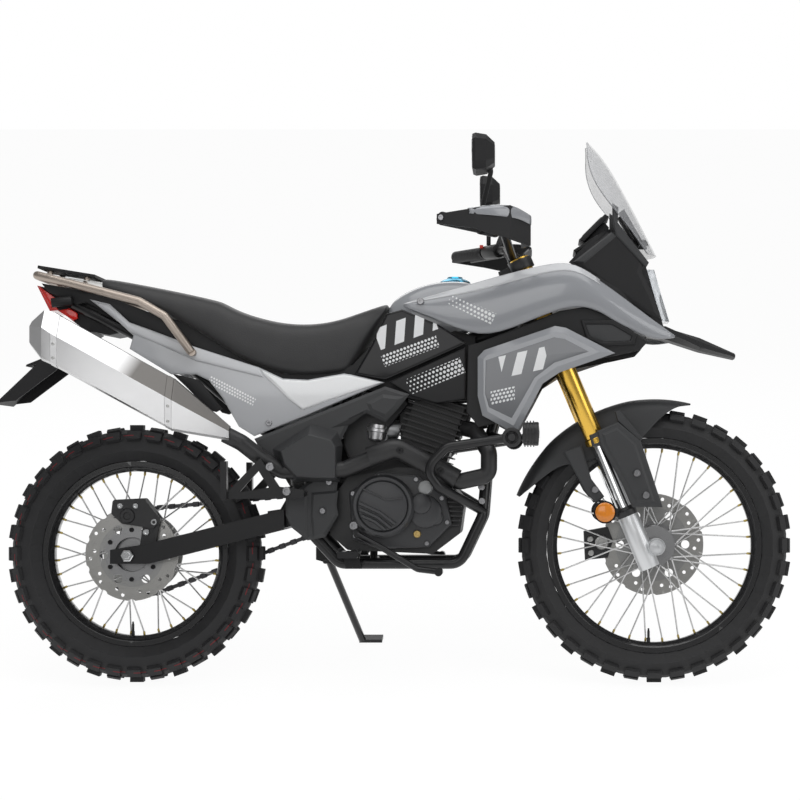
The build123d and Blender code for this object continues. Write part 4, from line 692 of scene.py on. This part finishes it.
moulding("engine_ports", ENGINE_BLACK, (INTAKE, 40, 0, 5, 5, 20, 2), (HEAD_FRONT, 40, 0, 5, 5, 20, 2))
moulding("tail_flaps", BLACK_MATTE, (INNER_FLAP, 104, 0, 3, 3, 6, 2))
moulding("rack_rails", STEEL, (RACK_RAIL, 77, 0, 2, 2, 5, 1))
moulding("tail_liner", BLACK_MATTE, (TAIL_LINER, 90, 0, 3, 3, 6, 1))
moulding("lamp_lenses", RED_LENS, (LAMP_UPPER, 82, 0, 3, 3, 14, 2), (LAMP_LOWER, 84, 0, 3, 3, 14, 2))
moulding("cowl_edges", GREY_MATTE, (COWL_EDGE, 113, -0.1, 4, 3, 6, 0), roll=1.0)
moulding("screen_posts", GREY_MATTE, (SCREEN_POST, 104, -0.1, 4, 3, 12, 0), roll=1.0)
moulding("screen_mounts", BLACK_MATTE, (SCREEN_MOUNT, 72, 0, 4, 4, 40, 2))
moulding("vent_frames", BLACK_MATTE, (VENT_FRAME, SCOOP_REACH + 5, 0, 4, 3, 8, 3, [VENT]))
moulding("vent_faces", GREY_MATTE, (VENT, SCOOP_REACH + 2, 0, 2, 1, 3, 1))
moulding("cowl_side_panels", BLACK_MATTE, (COWL_SIDE, 110, -0.1, 12, 3, 7, 0), roll=1.5)

# Tank and screen

TANK_PANEL = [
    # x, top z, bottom z, and the reach at its top, middle and bottom
    (706, 984, 976, 114, 117, 116), (775, 1003, 951, 116, 131, 129), (903, 1040, 889, 130, 151, 144),
    (1005, 1066, 927, 143, 162, 152), (1107, 1090, 969, 144, 166, 158), (1158, 1078, 976, 142, 163, 156),
    (1209, 1044, 964, 134, 156, 150), (1260, 1009, 926, 126, 147, 141), (1344, 947, 888, 108, 124, 119),
    (1403, 906, 898, 98, 101, 100)]


def tank_panel_ring(x, top, low, y_top, y_mid, y_low):
    """Section of the tank panel: a lip turned in at the top, a shoulder, a full side and a lip below."""
    tall = top - low
    return [(x, -y_top + 4, top - 2), (x, -y_top, top), (x, -(y_top + y_mid) / 2 - 3, top - tall * 0.22),
            (x, -y_mid, low + tall * 0.5), (x, -(y_mid + y_low) / 2 - 1, low + tall * 0.2), (x, -y_low, low),
            (x, -y_low + 8, low + 1)]


def thicken(made, wall):
    """Gives an open skin its wall, inwards."""
    solidify = made.modifiers.new("wall", "SOLIDIFY")
    solidify.thickness = wall * MM
    solidify.offset = -1.0
    return made


tank_skin = mirrored(skin([tank_panel_ring(*row) for row in TANK_PANEL], closed=False))
tank_panels = piece("tank_side_panels", tank_skin, TANK_PRINT, "tank_panels", crease=0)
thicken(subdivide(tank_panels, 2), 3.0)

# A silver strip over the tank panel's upper edge is a painted highlight
HIGHLIGHT_ROWS, HIGHLIGHT_DEEP, HIGHLIGHT_OUT = 7, 0.15, 0.42


def tank_highlight_ring(x, top, low, y_top, y_mid, _):
    """Section of the painted highlight along the tank panel's top: a silver strip over its upper edge."""
    deep, out = (top - low) * HIGHLIGHT_DEEP, y_top + (y_mid - y_top) * HIGHLIGHT_OUT
    return [(x, -y_top + 1, top + 1.5), (x, -y_top - 4, top - 0.35 * deep), (x, -out - 3.5, top - deep),
            (x, -out, top - 1.1 * deep)]


lip = mirrored(skin([tank_highlight_ring(*row) for row in TANK_PANEL[:HIGHLIGHT_ROWS]], closed=False))
thicken(subdivide(piece("tank_panel_highlights", lip, SILVER_PANEL, crease=0), 2), 1.5)

TANK_ROWS = [
    # x, bottom z, top z, half width at the bottom and at the top
    (654, 884, 978, 68, 54), (690, 851, 1013, 98, 76), (745, 872, 1038, 102, 82), (800, 893, 1050, 102, 84),
    (872, 920, 1050, 102, 84), (906, 934, 1030, 102, 78)]


def tank_ring(x, low, high, wide, top):
    """Section of the tank: upright sides, a knee and a rounded top."""
    knee = high - 0.3 * (high - low)
    side = [(0, low), (wide, low), (wide, (low + knee) / 2), (wide, knee), (top, high - 8), (0.7 * top, high),
            (0, high)]
    return both_halves(x, side)


tank = piece("tank", skin([tank_ring(*row) for row in TANK_ROWS]), GREY_GLOSS, "fuel_tank", crease=0)
subdivide(tank, 2)

SCREEN = [
    # z, middle x, half width and how far the edge sweeps back
    (1118, 1362, 66, 26), (1150, 1346, 84, 34), (1186, 1328, 100, 42), (1232, 1305, 116, 60),
    (1290, 1274, 122, 76), (1350, 1240, 112, 62), (1392, 1206, 80, 26), (1412, 1184, 44, 6)]


def screen_ring(z, middle, wide, back):
    """Section of the screen: flat in the middle, swept back to its edges."""
    shares = (-1.0, -0.8, -0.5, -0.2, 0.2, 0.5, 0.8, 1.0)
    return [(middle - back * abs(share) ** 2.2, wide * share, z) for share in shares]


sheet = skin([screen_ring(*row) for row in SCREEN], closed=False)
screen = piece("screen", sheet, SCREEN_CLEAR, "windscreen", crease=0)
screen.data.materials.append(SCREEN_EDGE.material)
thicken(subdivide(screen, 2), 3.5).modifiers["wall"].material_offset_rim = 1

# Fasteners and small turned pieces

RIGHT, LEFT, UP, FORE = (0, -1, 0), (0, 1, 0), (0, 0, 1), (1, 0, 0)
SOCKET_HEAD = [(0, 0.3), (0.42, 0.3), (0.46, 0.85), (0.84, 0.85), (1.0, 0.65), (1.0, -0.3)]
RIVET_HEAD = [(0, 0.5), (0.5, 0.45), (0.85, 0.25), (1.0, -0.2)]


def facing(centre, axis):
    """Sets a shape drawn along Z on a centre, along an axis."""
    return Matrix.Translation(centre) @ Vector(axis).to_track_quat("Z", "Y").to_matrix().to_4x4()


def turned(profile, centre, axis, steps=20):
    """A profile of radius and height turned about an axis, and closed at its foot or into a ring."""
    mesh = bmesh.new()
    last = profile[0] if profile[0][0] else (0, profile[-1][1])
    verts = [mesh.verts.new((radius, 0, height)) for radius, height in [*profile, last]]
    edges = [mesh.edges.new(pair) for pair in zip(verts, verts[1:])]
    bmesh.ops.spin(mesh, geom=verts + edges, cent=(0, 0, 0), axis=(0, 0, 1), angle=2 * pi, steps=steps,
                   use_merge=True)
    bmesh.ops.remove_doubles(mesh, verts=mesh.verts, dist=SAME_PLACE)
    mesh.transform(facing(centre, axis))
    return mesh


def heads(profile, size, places, axis=RIGHT, steps=14):
    """Bolt or rivet heads of one size at several places."""
    scaled = [(radius * size, height * size) for radius, height in profile]
    return joined([turned(scaled, place, axis, steps) for place in places])


def bolts(*rows):
    """Socket heads that face right, each row with its size and places."""
    return joined([heads(SOCKET_HEAD, size, places) for size, places in rows])


def block(low, high, edge):
    """A box between two corners with rounded edges."""
    mesh = bmesh.new()
    bmesh.ops.create_cube(mesh, size=1.0)
    low, high = Vector(low), Vector(high)
    bmesh.ops.scale(mesh, vec=high - low, verts=mesh.verts)
    bmesh.ops.translate(mesh, vec=(low + high) / 2, verts=mesh.verts)
    bmesh.ops.bevel(mesh, geom=mesh.edges[:], offset=edge, affect="EDGES", segments=2, profile=0.5,
                    material=-1)
    return mesh


def raised_line(points, half, foot, top):
    """A raised line with sloping sides through points of X and Z on a right-hand cover."""
    places = [Vector(point) for point in points]
    rings = []
    for back, place, ahead in zip([places[0], *places], places, [*places[1:], places[-1]]):
        way = (ahead - back).normalized()
        aside = Vector((-way.y, way.x)) * half
        rings.append([(spot.x, y, spot.y) for spot, y in ((place - aside, foot), (place - aside * 0.5, top),
                                                          (place + aside * 0.5, top), (place + aside, foot))])
    return skin(rings)


CASE_Y = -116
piece("body_bolts", mirrored(bolts((8, [(517, -132, 527), (501, -137, 454), (360, -107, 679)]),
                                   (9, [(750, -124, 990)]))), BOLT_STEEL)
PLUG = [(0, 3), (9, 3), (11, 1.5), (12, -1)]
piece("tail_plugs", mirrored(turned(PLUG, (347, -106, 731), RIGHT)), OLIVE)
piece("frame_bolts", mirrored(bolts((9, [(906, -118, 515), (907, -118, 479)]),
                                    (11, [(377, -213, 566), (419, -213, 505)]),
                                    (12, [(579, -119, 416)]))), BOLT_STEEL)
CASE_BOLTS = [(582, 390), (642, 366), (766, 370), (818, 424), (804, 486), (738, 534), (642, 541), (576, 498)]
piece("engine_bolts", bolts((6, [(x, CASE_Y, z) for x, z in CASE_BOLTS])), BOLT_STEEL)
piece("shield_bolts", bolts((9, [(702, -190, 608), (806, -190, 556)])), BLACK_MATTE)

# Engine covers

COVER = [(575, 380), (640, 356), (770, 360), (830, 420), (815, 490), (740, 545), (640, 552), (566, 500)]
DRUM = [(0, 44), (52, 43.5), (62, 41), (65, 36), (78, 34), (80, 30), (80, 0)]
PUMP = [(0, 26), (34, 26), (41, 22), (42, 0)]
RIBS = [[(596, 474), (648, 450), (688, 420)], [(598, 458), (642, 438), (676, 411)],
        [(602, 442), (636, 427), (662, 406)]]
BROW = [(606, 510), (666, 482), (706, 486)]
BOWL = [(0, -26), (17, -26), (21, -22), (22, -4), (27, -2), (27, 5), (23, 7), (23, 16), (14, 20), (0, 20)]
CLUTCH_RING = [(64, 0), (67, 4), (74, 4), (78, -4), (80.5, -8)]
PUMP_CAP = [(0, 7), (20, 7), (25, 4), (27, -1)]
FILTER_CAP = [(0, 16), (16, 16), (20, 12), (22, -1)]
FILLER = [(0, 16), (10, 17), (16, 15), (17, 4), (19, 2), (19, -1)]
FIN_MIDDLE, FIN_THICK = 450, 5
cover = joined([panel(COVER, -CASE_Y, 0, 6, 5, 24, 2, mirror=False),
                turned(DRUM, (655, -110, 466), RIGHT, 64), turned(PUMP, (762, -110, 452), RIGHT, 40)])
piece("clutch_face", cover, ENGINE_GREY, "clutch_cover")
ribs = [raised_line(rib, 6.0, -150, -160) for rib in RIBS] + [raised_line(BROW, 3.5, -150, -157)]
piece("clutch_ribs", joined(ribs), ENGINE_GREY)
piece("fuel_bowl", turned(BOWL, (634, -68, 660), (0.12, 0, 1), 32), ALLOY)
piece("clutch_ring", turned(CLUTCH_RING, (655, -149, 466), RIGHT, 64), ENGINE_GREY)
piece("engine_caps", joined([turned(PUMP_CAP, (752, -136, 472), RIGHT, 32),
                             turned(FILTER_CAP, (787, CASE_Y, 437), RIGHT, 32)]), ENGINE_GREY)
piece("filler_cap", turned(FILLER, (762, CASE_Y, 512), RIGHT, 24), FILLER_GREY)
piece("drain_plug", bolts((10, [(741, CASE_Y, 394)])), BRASS)
fins = [block((792, -108, z), (858 - abs(FIN_MIDDLE - z) / 3, -88, z + FIN_THICK), 1.2)
        for z in range(414, 498, 12)]
piece("case_fins", joined(fins), ENGINE_BLACK)

# Silencer

CAN_Y, CAN_HALF, CAN_UNDER = -208.0, 50.0, 3.0
CAN_ROWS = [
    # x, bottom, shoulder, top and share of the full width
    (276, 635, 656, 668, 0.45), (140, 658, 730, 784, 1.0), (-166, 825, 899, 954, 1.0),
    (-187, 834, 913, 960, 0.97), (-220, 874, 917, 931, 0.7)]


def can_section(x, grow=0.0):
    """Section of the silencer at a place along it, grown outwards where it is a band."""
    for (front, *ahead), (rear, *behind) in zip(CAN_ROWS, CAN_ROWS[1:]):
        if front >= x >= rear:
            share = (front - x) / (front - rear)
            low, shoulder, top, wide = [a + (b - a) * share for a, b in zip(ahead, behind)]
    half, under, over = CAN_HALF * wide + grow, low - CAN_UNDER - grow, top + grow
    ring = [(-half, shoulder), (-half, low + CAN_UNDER), (-0.75 * half, under), (0.55 * half, under),
            (half, low + 14 * wide), (half, shoulder - 8 * wide), (0.35 * half, over), (-0.3 * half, over)]
    return [(x, CAN_Y + out, z) for out, z in ring]


BANDS = [(138, 120), (-148, -165)]
BAND_PROUD = 1.2
piece("silencer_can", skin([can_section(row[0]) for row in CAN_ROWS]), CAN, "silencer", crease=12)
bands = joined([skin([can_section(x, grow) for x, grow in ((front, 0), (front - 1, BAND_PROUD),
                                                           (rear + 1, BAND_PROUD), (rear, 0))])
                for front, rear in BANDS])
piece("silencer_bands", bands, CAN, crease=12)
rivet_places = [(x, -259, z) for x, z in ((-157, 872), (-157, 837), (129, 717), (129, 679))]
piece("silencer_rivets", heads(RIVET_HEAD, 4.5, rivet_places), STEEL)
SILENCER_END = [(0, -16), (15, -16), (16, 3), (20, 3), (21, -4), (21, -18)]
piece("silencer_mouth", turned(SILENCER_END, (-221, CAN_Y, 900), (-1, 0, 0), 32), ENGINE_BLACK)

# Wheels: knobs between the solid lugs, valves and disc bolts, then axle ends, calipers and peg teeth


def knobs(centre, tyre_r, crown_r, rows):
    """A pair of knobs beside the crown on every other row, spun round the axle."""
    mesh = bmesh.new()
    turn = 2 * pi / rows
    middle, half = tyre_r - crown_r, 0.3 * turn * tyre_r
    # Corners of a knob's section: radius of the crown's arc, and degrees aside from its middle
    foot = [(crown_r - 15, 18), (crown_r - 15, 38)]
    crown = [(crown_r - 1, 35), (crown_r - 1, 21)]
    for side in (-1, 1):
        section = [(-half, side * radius * sin(radians(a)), middle + radius * cos(radians(a)))
                   for radius, a in foot + crown]
        face = mesh.faces.new([mesh.verts.new(point) for point in section])
        walls = bmesh.ops.extrude_face_region(mesh, geom=[face], use_keep_orig=True)
        moved = [item for item in walls["geom"] if isinstance(item, bmesh.types.BMVert)]
        bmesh.ops.translate(mesh, vec=(2 * half, 0, 0), verts=moved)
    bmesh.ops.rotate(mesh, matrix=Matrix.Rotation(turn, 3, "Y"), cent=(0, 0, 0), verts=mesh.verts)
    geom = mesh.verts[:] + mesh.edges[:] + mesh.faces[:]
    bmesh.ops.spin(mesh, geom=geom, cent=(0, 0, 0), axis=(0, 1, 0), steps=rows // 2 - 1,
                   angle=2 * pi * (rows / 2 - 1) / (rows / 2), use_duplicate=True)
    bmesh.ops.translate(mesh, vec=centre, verts=mesh.verts)
    return mesh


def wheel_bolts(centre, radius, count, y, axis, size):
    """Bolts on a circle round an axle."""
    places = [centre + Vector((radius * sin(turn), y, radius * cos(turn)))
              for turn in [2 * pi * i / count for i in range(count)]]
    return heads(SOCKET_HEAD, size, places, axis)


VALVE = [(0, 36), (2.2, 36), (2.6, 30), (3.4, 29), (3.4, 12), (4.6, 10), (4.6, -2)]
VALVE_FOOT, KNOB_ROWS, DISC_BOLTS = 27, 36, 6
KNOBS = [
    # end, axle, tyre, its radius and its crown's
    ("rear", REAR_CENTRE, REAR_RUBBER, 338, 62), ("front", FRONT_CENTRE, FRONT_RUBBER, 360, 48)]
VALVES = [("rear", REAR_CENTRE, REAR_RIM_R, 12), ("front", FRONT_CENTRE, FRONT_RIM_R, 14)]
for end, axle, tyre, tyre_r, crown_r in KNOBS:
    knobbles = piece(end + "_knobs", knobs(axle, tyre_r, crown_r, KNOB_ROWS), tyre, body=end + "_wheel")
    rounded(knobbles, 1.2, 30, 1)
for end, axle, rim_r, back in VALVES:
    valve = turned(VALVE, axle - Vector((back, 0, rim_r - VALVE_FOOT)), UP, 10)
    piece(end + "_valve", valve, RUBBER, body=end + "_wheel")
rear_bolts = wheel_bolts(REAR_CENTRE, 64, DISC_BOLTS, -74, RIGHT, 6)
piece("rear_disc_bolts", rear_bolts, BLACK_MATTE, body="rear_wheel")
front_bolts = wheel_bolts(FRONT_CENTRE, 58, DISC_BOLTS, 60, LEFT, 6)
piece("front_disc_bolts", front_bolts, BLACK_MATTE, body="front_wheel")
NUT = [(0, 9), (8, 9), (9, 7), (9, 4), (15, 4), (17, 2), (17, -1)]
AXLE_CAP = [(0, 5), (9, 5), (12, 3), (19, 3), (21, 0)]
PISTON = [(0, 2), (9, 2), (10, 5), (17, 5), (19, 3), (20, -1)]
piece("rear_axle_nuts", mirrored(turned(NUT, (0, -131, REAR_Z), RIGHT, 6)), CHROME)
axle_caps = mirrored(turned(AXLE_CAP, (WHEELBASE, -124, FRONT_Z), RIGHT))
piece("front_axle_caps", axle_caps, CAST, body="steering")
piece("rear_caliper_bolts", bolts((8, [(-24, -98, 466), (16, -98, 466)]),
                                  (9, [(42, -91.5, 398), (62, -91.5, 424)])), CHROME)
piece("rear_piston", turned(PISTON, (-6, -98, 440), RIGHT, 28), ENGINE_BLACK)
front_caliper = joined([bolts((8, [fork(78, -76, 44), fork(44, -88, 44)])),
                        turned(PISTON, fork(58, -52, 44), RIGHT, 28)])
piece("front_caliper_bolts", front_caliper, STEEL, body="steering")
TOOTH = [(0, 8), (1.2, 8), (3.6, 0), (3.6, -1)]
teeth = heads(TOOTH, 1.0, [(x, y, 352) for x in (549, 596) for y in range(-216, -136, 13)], UP, 8)
piece("peg_teeth", mirrored(teeth), FRAME_BLACK)

# Fork: seals, clamp rings, reflectors, mudguard and guard plates

DUST_SEAL = [(18.7, 14), (21, 13), (23, 6), (27.5, 4), (27.5, -10), (26.5, -12)]
CLAMP_RING = [(25, -8), (27.5, -8), (29, -6), (29, 6), (27.5, 8), (25, 8)]
LENS = [(0, 9), (12, 8.5), (22, 6.5), (25, 4.5), (25, 0)]
HOLDER = [(0, 0.5), (26, 0.5), (28, 3), (29, 3), (29, -4), (0, -4)]
seals = turned(DUST_SEAL, fork(112, LEG_AHEAD, -FORK_HALF), FORK_UP, 28)
piece("fork_seals", mirrored(seals), ENGINE_BLACK, body="steering")
rings = turned(CLAMP_RING, fork(312, LEG_AHEAD, -FORK_HALF), FORK_UP, 28)
piece("fork_rings", mirrored(rings), GOLD, body="steering")
lens_at = fork(133, -16, -112)
piece("reflectors", mirrored(turned(LENS, lens_at, RIGHT, 32)), AMBER_LENS, body="steering")
holders = joined([turned(HOLDER, lens_at, RIGHT, 32),
                  block(lens_at + Vector((0, 2, -12)), lens_at + Vector((46, 8, 10)), 2.0)])
piece("reflector_holders", mirrored(holders), BLACK_MATTE, body="steering")

GUARD = [(1202, 658), (1256, 681), (1314, 632), (1370, 463), (1292, 463), (1261, 532), (1210, 622)]
GUARD_FACE = [(1212, 652), (1254, 669), (1303, 626), (1354, 474), (1299, 474), (1269, 536), (1219, 623)]
GUARD_FIN = [(1247, 708), (1260, 713), (1320, 640), (1313, 630), (1255, 682)]
GUARD_ARM = [(330, 23), (332, 63), (329, 95), (289, 105), (294, 67), (301, 19)]
MUDGUARD = [
    # degrees behind the top of the wheel, half width and how far the side reaches in
    (-14.5, 12, 381), (-11, 34, 374), (-6, 51, 354), (0, 59, 320), (7, 62, 280), (12, 62, 273), (22, 62, 272),
    (34, 62, 276), (43, 62, 287), (48, 62, 322), (59, 60, 343), (67, 52, 362), (70, 40, 376)]
GUARD_SHOULDER, GUARD_CROWN = 366, 385


def along_fork(outline):
    """The place of an outline given by height along the fork and distance ahead."""
    return [(place.x, place.z) for place in (fork(up, fore) for up, fore in outline)]


def mudguard_ring(degrees, half, reach):
    """Section of the mudguard: sides, shoulders and a lightly crowned top."""
    turn, shoulder = radians(degrees), max(GUARD_SHOULDER, reach + 2)
    side = [(half, reach), (half, (reach + shoulder) / 2), (half - 4, shoulder),
            (half * 0.5, GUARD_CROWN - 3)]
    ring = [(-y, r) for y, r in side] + [(0, GUARD_CROWN)] + side[::-1]
    return [(WHEELBASE - r * sin(turn), y, FRONT_Z + r * cos(turn)) for y, r in ring]


arch = skin([mudguard_ring(*row) for row in MUDGUARD], closed=False)
mudguard = piece("mudguard", arch, GREY_MATTE, "front_mudguard", body="steering", crease=0)
thicken(subdivide(mudguard, 2), 3.0)
moulding("fork_guards", GREY_MATTE, (GUARD, 127, 0, 4, 3, 6, 0), (GUARD_FACE, 130, 0, 8, 4, 8, 0),
         (GUARD_FIN, 118, 0, 3, 3, 20, 0), body="steering", roll=1.5)
moulding("guard_arms", GREY_MATTE, (along_fork(GUARD_ARM), 123, 0, 3, 3, 62, 0), body="steering", roll=1.5)
moulding("guard_brackets", GREY_MATTE, (BRACKET, 96, 0, 4, 3, 8, 0), body="steering", roll=1.5)
guard_bolts = bolts((9, [(1304, -130, 550), (1327, -130, 494)]), (9, [(1198, -96, 508)]))
piece("guard_bolts", mirrored(guard_bolts), BOLT_STEEL, body="steering")

# Handlebar: hand guard shields and bolts, mirror glass and kill switch

BAR_MIDDLE = fork(834, 22)
BAR_KNEE, BAR_END = BAR_MIDDLE + Vector((-20, 190, 50)), BAR_MIDDLE + Vector((-165, 410, 54))


def on_bar(share):
    """A point on the right outer run of the bar, by its share of the way from the knee to the end."""
    place = BAR_KNEE.lerp(BAR_END, share)
    return Vector((place.x, -place.y, place.z))


GUARD_ROWS = [
    # ahead of the bar end, y outside and inside, bottom and top from the bar end
    (66, -437, -429, 8, 20), (100, -432, -424, 6, 26), (165, -405, -396, 4, 35), (190, -370, -360, 2, 28),
    (214, -331, -322, -6, 18)]
shield_rings = []
for ahead, outside, inside, low, high in GUARD_ROWS:
    x, z = BAR_END.x + ahead, BAR_END.z
    shield_rings.append([(x + 1, outside - 2, z + low), (x + 2, outside - 4, z + (low + high) / 2),
                         (x + 1, outside - 2, z + high), (x - 4, inside, z + high + 3)])
shields = mirrored(skin(shield_rings, closed=False))
shield = piece("guard_shields", shields, GREY_GLOSS, body="steering", crease=0)
thicken(subdivide(shield, 2), 2.0)
outer_bolts = bolts((7, [(BAR_END.x - 2, -427, BAR_END.z)]))
piece("guard_bolts_outer", mirrored(outer_bolts), BOLT_STEEL, body="steering")

MIRROR = on_bar(0.34) + Vector((4, -67, 170))
GLASS = [(-58, -22), (-46, -37), (37, -39), (50, -28), (55, 18), (38, 39), (-38, 39), (-58, 26)]
glass = flat([GLASS], 1.5, 1.0, 2.4, 1)
for vert in glass.verts:
    y, z, out = vert.co
    vert.co = MIRROR + Vector((-28.2 - out, y, z))
piece("mirror_glass", mirrored(glass), CHROME, body="steering")
switch = on_bar(0.36) + Vector((-16, 0, 12))
switch.y = -switch.y
rocker = block(switch - Vector((6, 7, 2)), switch + Vector((4, 7, 8)), 1.5)
piece("kill_switch", rocker, SWITCH_RED, body="steering")

# Auxiliary lamps, crash bar caps and dash

FOG_LENS = [(0, 5), (14, 4), (22, 1), (22, -1)]
FOG_BEZEL = [(21, -2), (22, 3), (25, 3), (27, 0), (27, -8)]
fog_front = Vector((1050, -204, 652))
piece("fog_lenses", mirrored(turned(FOG_LENS, fog_front, FORE, 28)), CLEAR_LENS)
piece("fog_bezels", mirrored(turned(FOG_BEZEL, fog_front, FORE, 28)), ENGINE_BLACK)
BOBBIN = [(0, 3), (9, 3), (11, 0), (15, 0), (17, 4), (23, 4), (25, 2), (25, -3)]
piece("bobbin_caps", mirrored(turned(BOBBIN, (985, -222, 640), RIGHT, 24)), ENGINE_BLACK)

DASH_UNIT = [(1157, 1156), (1224, 1222), (1235, 1216), (1170, 1149)]
DASH_TRAY = [(1143, 1128), (1206, 1168), (1212, 1160), (1149, 1121)]
DASH_STEM = [(1172, 1146), (1186, 1170), (1222, 1206), (1236, 1190), (1216, 1150), (1186, 1136)]
moulding("dash_unit", BLACK_MATTE, (DASH_UNIT, 64, 0, 3, 3, 128, 2, (), False),
         (DASH_TRAY, 74, 0, 2, 2, 148, 2, (), False), (DASH_STEM, 44, 0, 4, 4, 88, 2, (), False),
         replaces="dash")
DASH_FACE = [(-52, -36), (52, -36), (57, -28), (57, 28), (52, 36), (-52, 36), (-57, 28), (-57, -28)]
display = flat([DASH_FACE], 3.0, 1.5, 4.0, 2)
display.transform(facing((1191, 0, 1190), (-0.707, 0, 0.707)))
piece("dash_display", display, BLACK_GLOSS)

# Fuel cap

CAP = [(0, 13), (14, 13), (15, 15), (19, 15), (21, 11), (32, 7), (40, 2), (41, -4), (0, -4)]
piece("cap_lid", turned(CAP, (833, 0, 1049), UP, 48), CAP_BLUE, "fuel_cap", body="fuel_cap")

# Edges of the solids that still show

EDGE_WIDTH = {"crankcase": 3.0, "beak": 3.0, "front_cowl": 4.0}
for names in FINISHES.values():
    for name in names.split():
        if not nodes[name].hide_render:
            soften(nodes[name], EDGE_WIDTH.get(name, 1.0))

# Camera, floor and light

camera = bpy.data.objects.new("camera", bpy.data.cameras.new("camera"))
bpy.context.scene.collection.objects.link(camera)
EYE = Vector((1045.7, -5000.0, 544.9))
camera.matrix_world = (BIKE.normalized() @ Matrix.Translation(EYE * MM) @ Matrix.Rotation(pi / 2, 4, "X"))
camera.data.lens = 85.7
camera.data.shift_x = -0.17
camera.data.shift_y = 0.094
bpy.context.scene.camera = camera

FLOOR = Finish("floor_paper", (0.9, 0.9, 0.9), 0.8)
rays = FLOOR.tree.nodes.new("ShaderNodeLightPath").outputs
seen = (Wire(FLOOR, rays["Is Camera Ray"]) + Wire(FLOOR, rays["Is Glossy Ray"])
        + Wire(FLOOR, rays["Is Transmission Ray"])).math("MINIMUM", 1.0)
glow = FLOOR.add("ShaderNodeEmission", {}, Color=(1, 1, 1, 1), Strength=1.05)
paper = FLOOR.add("ShaderNodeMixShader", {}, seen * 0.9, Wire(FLOOR, FLOOR.shader.outputs[0]), glow)
FLOOR.tree.links.new(paper.socket, FLOOR.tree.nodes["Material Output"].inputs["Surface"])
ground = bmesh.new()
bmesh.ops.create_grid(ground, x_segments=1, y_segments=1, size=30.0)
floor_mesh = bpy.data.meshes.new("floor")
ground.to_mesh(floor_mesh)
ground.free()
floor = bpy.data.objects.new("floor", floor_mesh)
floor_mesh.materials.append(FLOOR.material)
bpy.context.scene.collection.objects.link(floor)

world = bpy.data.worlds.new("studio")
world.use_nodes = True
bpy.context.scene.world = world
sky = world.node_tree
paths = sky.nodes.new("ShaderNodeLightPath").outputs
bright = sky.nodes.new("ShaderNodeMath")
bright.operation = "MAXIMUM"
sky.links.new(paths["Is Camera Ray"], bright.inputs[0])
sky.links.new(paths["Is Transmission Ray"], bright.inputs[1])
level = sky.nodes.new("ShaderNodeMapRange")
level.inputs["To Min"].default_value = 0.3
level.inputs["To Max"].default_value = 1.0
sky.links.new(bright.outputs[0], level.inputs["Value"])
sky.nodes["Background"].inputs["Color"].default_value = (1, 1, 1, 1)
sky.links.new(level.outputs["Result"], sky.nodes["Background"].inputs["Strength"])


def softbox(name, place, target, width, height, power):
    """A rectangular lamp at a place, facing a target, both in metres."""
    lamp = bpy.data.lights.new(name, "AREA")
    lamp.shape = "RECTANGLE"
    lamp.size = width
    lamp.size_y = height
    lamp.energy = power
    made = bpy.data.objects.new(name, lamp)
    aim = (Vector(target) - Vector(place)).to_track_quat("-Z", "Y")
    made.matrix_world = Matrix.Translation(place) @ aim.to_matrix().to_4x4()
    bpy.context.scene.collection.objects.link(made)


softbox("overhead", (0.2, -0.6, 3.6), (0.1, 0, 0.6), 3.6, 2.4, 52)
softbox("near_side", (-0.6, -4.2, 2.6), (0, 0, 0.6), 2.6, 2.0, 26)
softbox("front_side", (3.6, -2.2, 2.2), (0.2, 0, 0.7), 2.0, 2.4, 30)
softbox("far_side", (-0.5, 3.6, 2.6), (0, 0, 0.7), 3.0, 2.0, 30)

bpy.context.scene.view_settings.view_transform = "Standard"
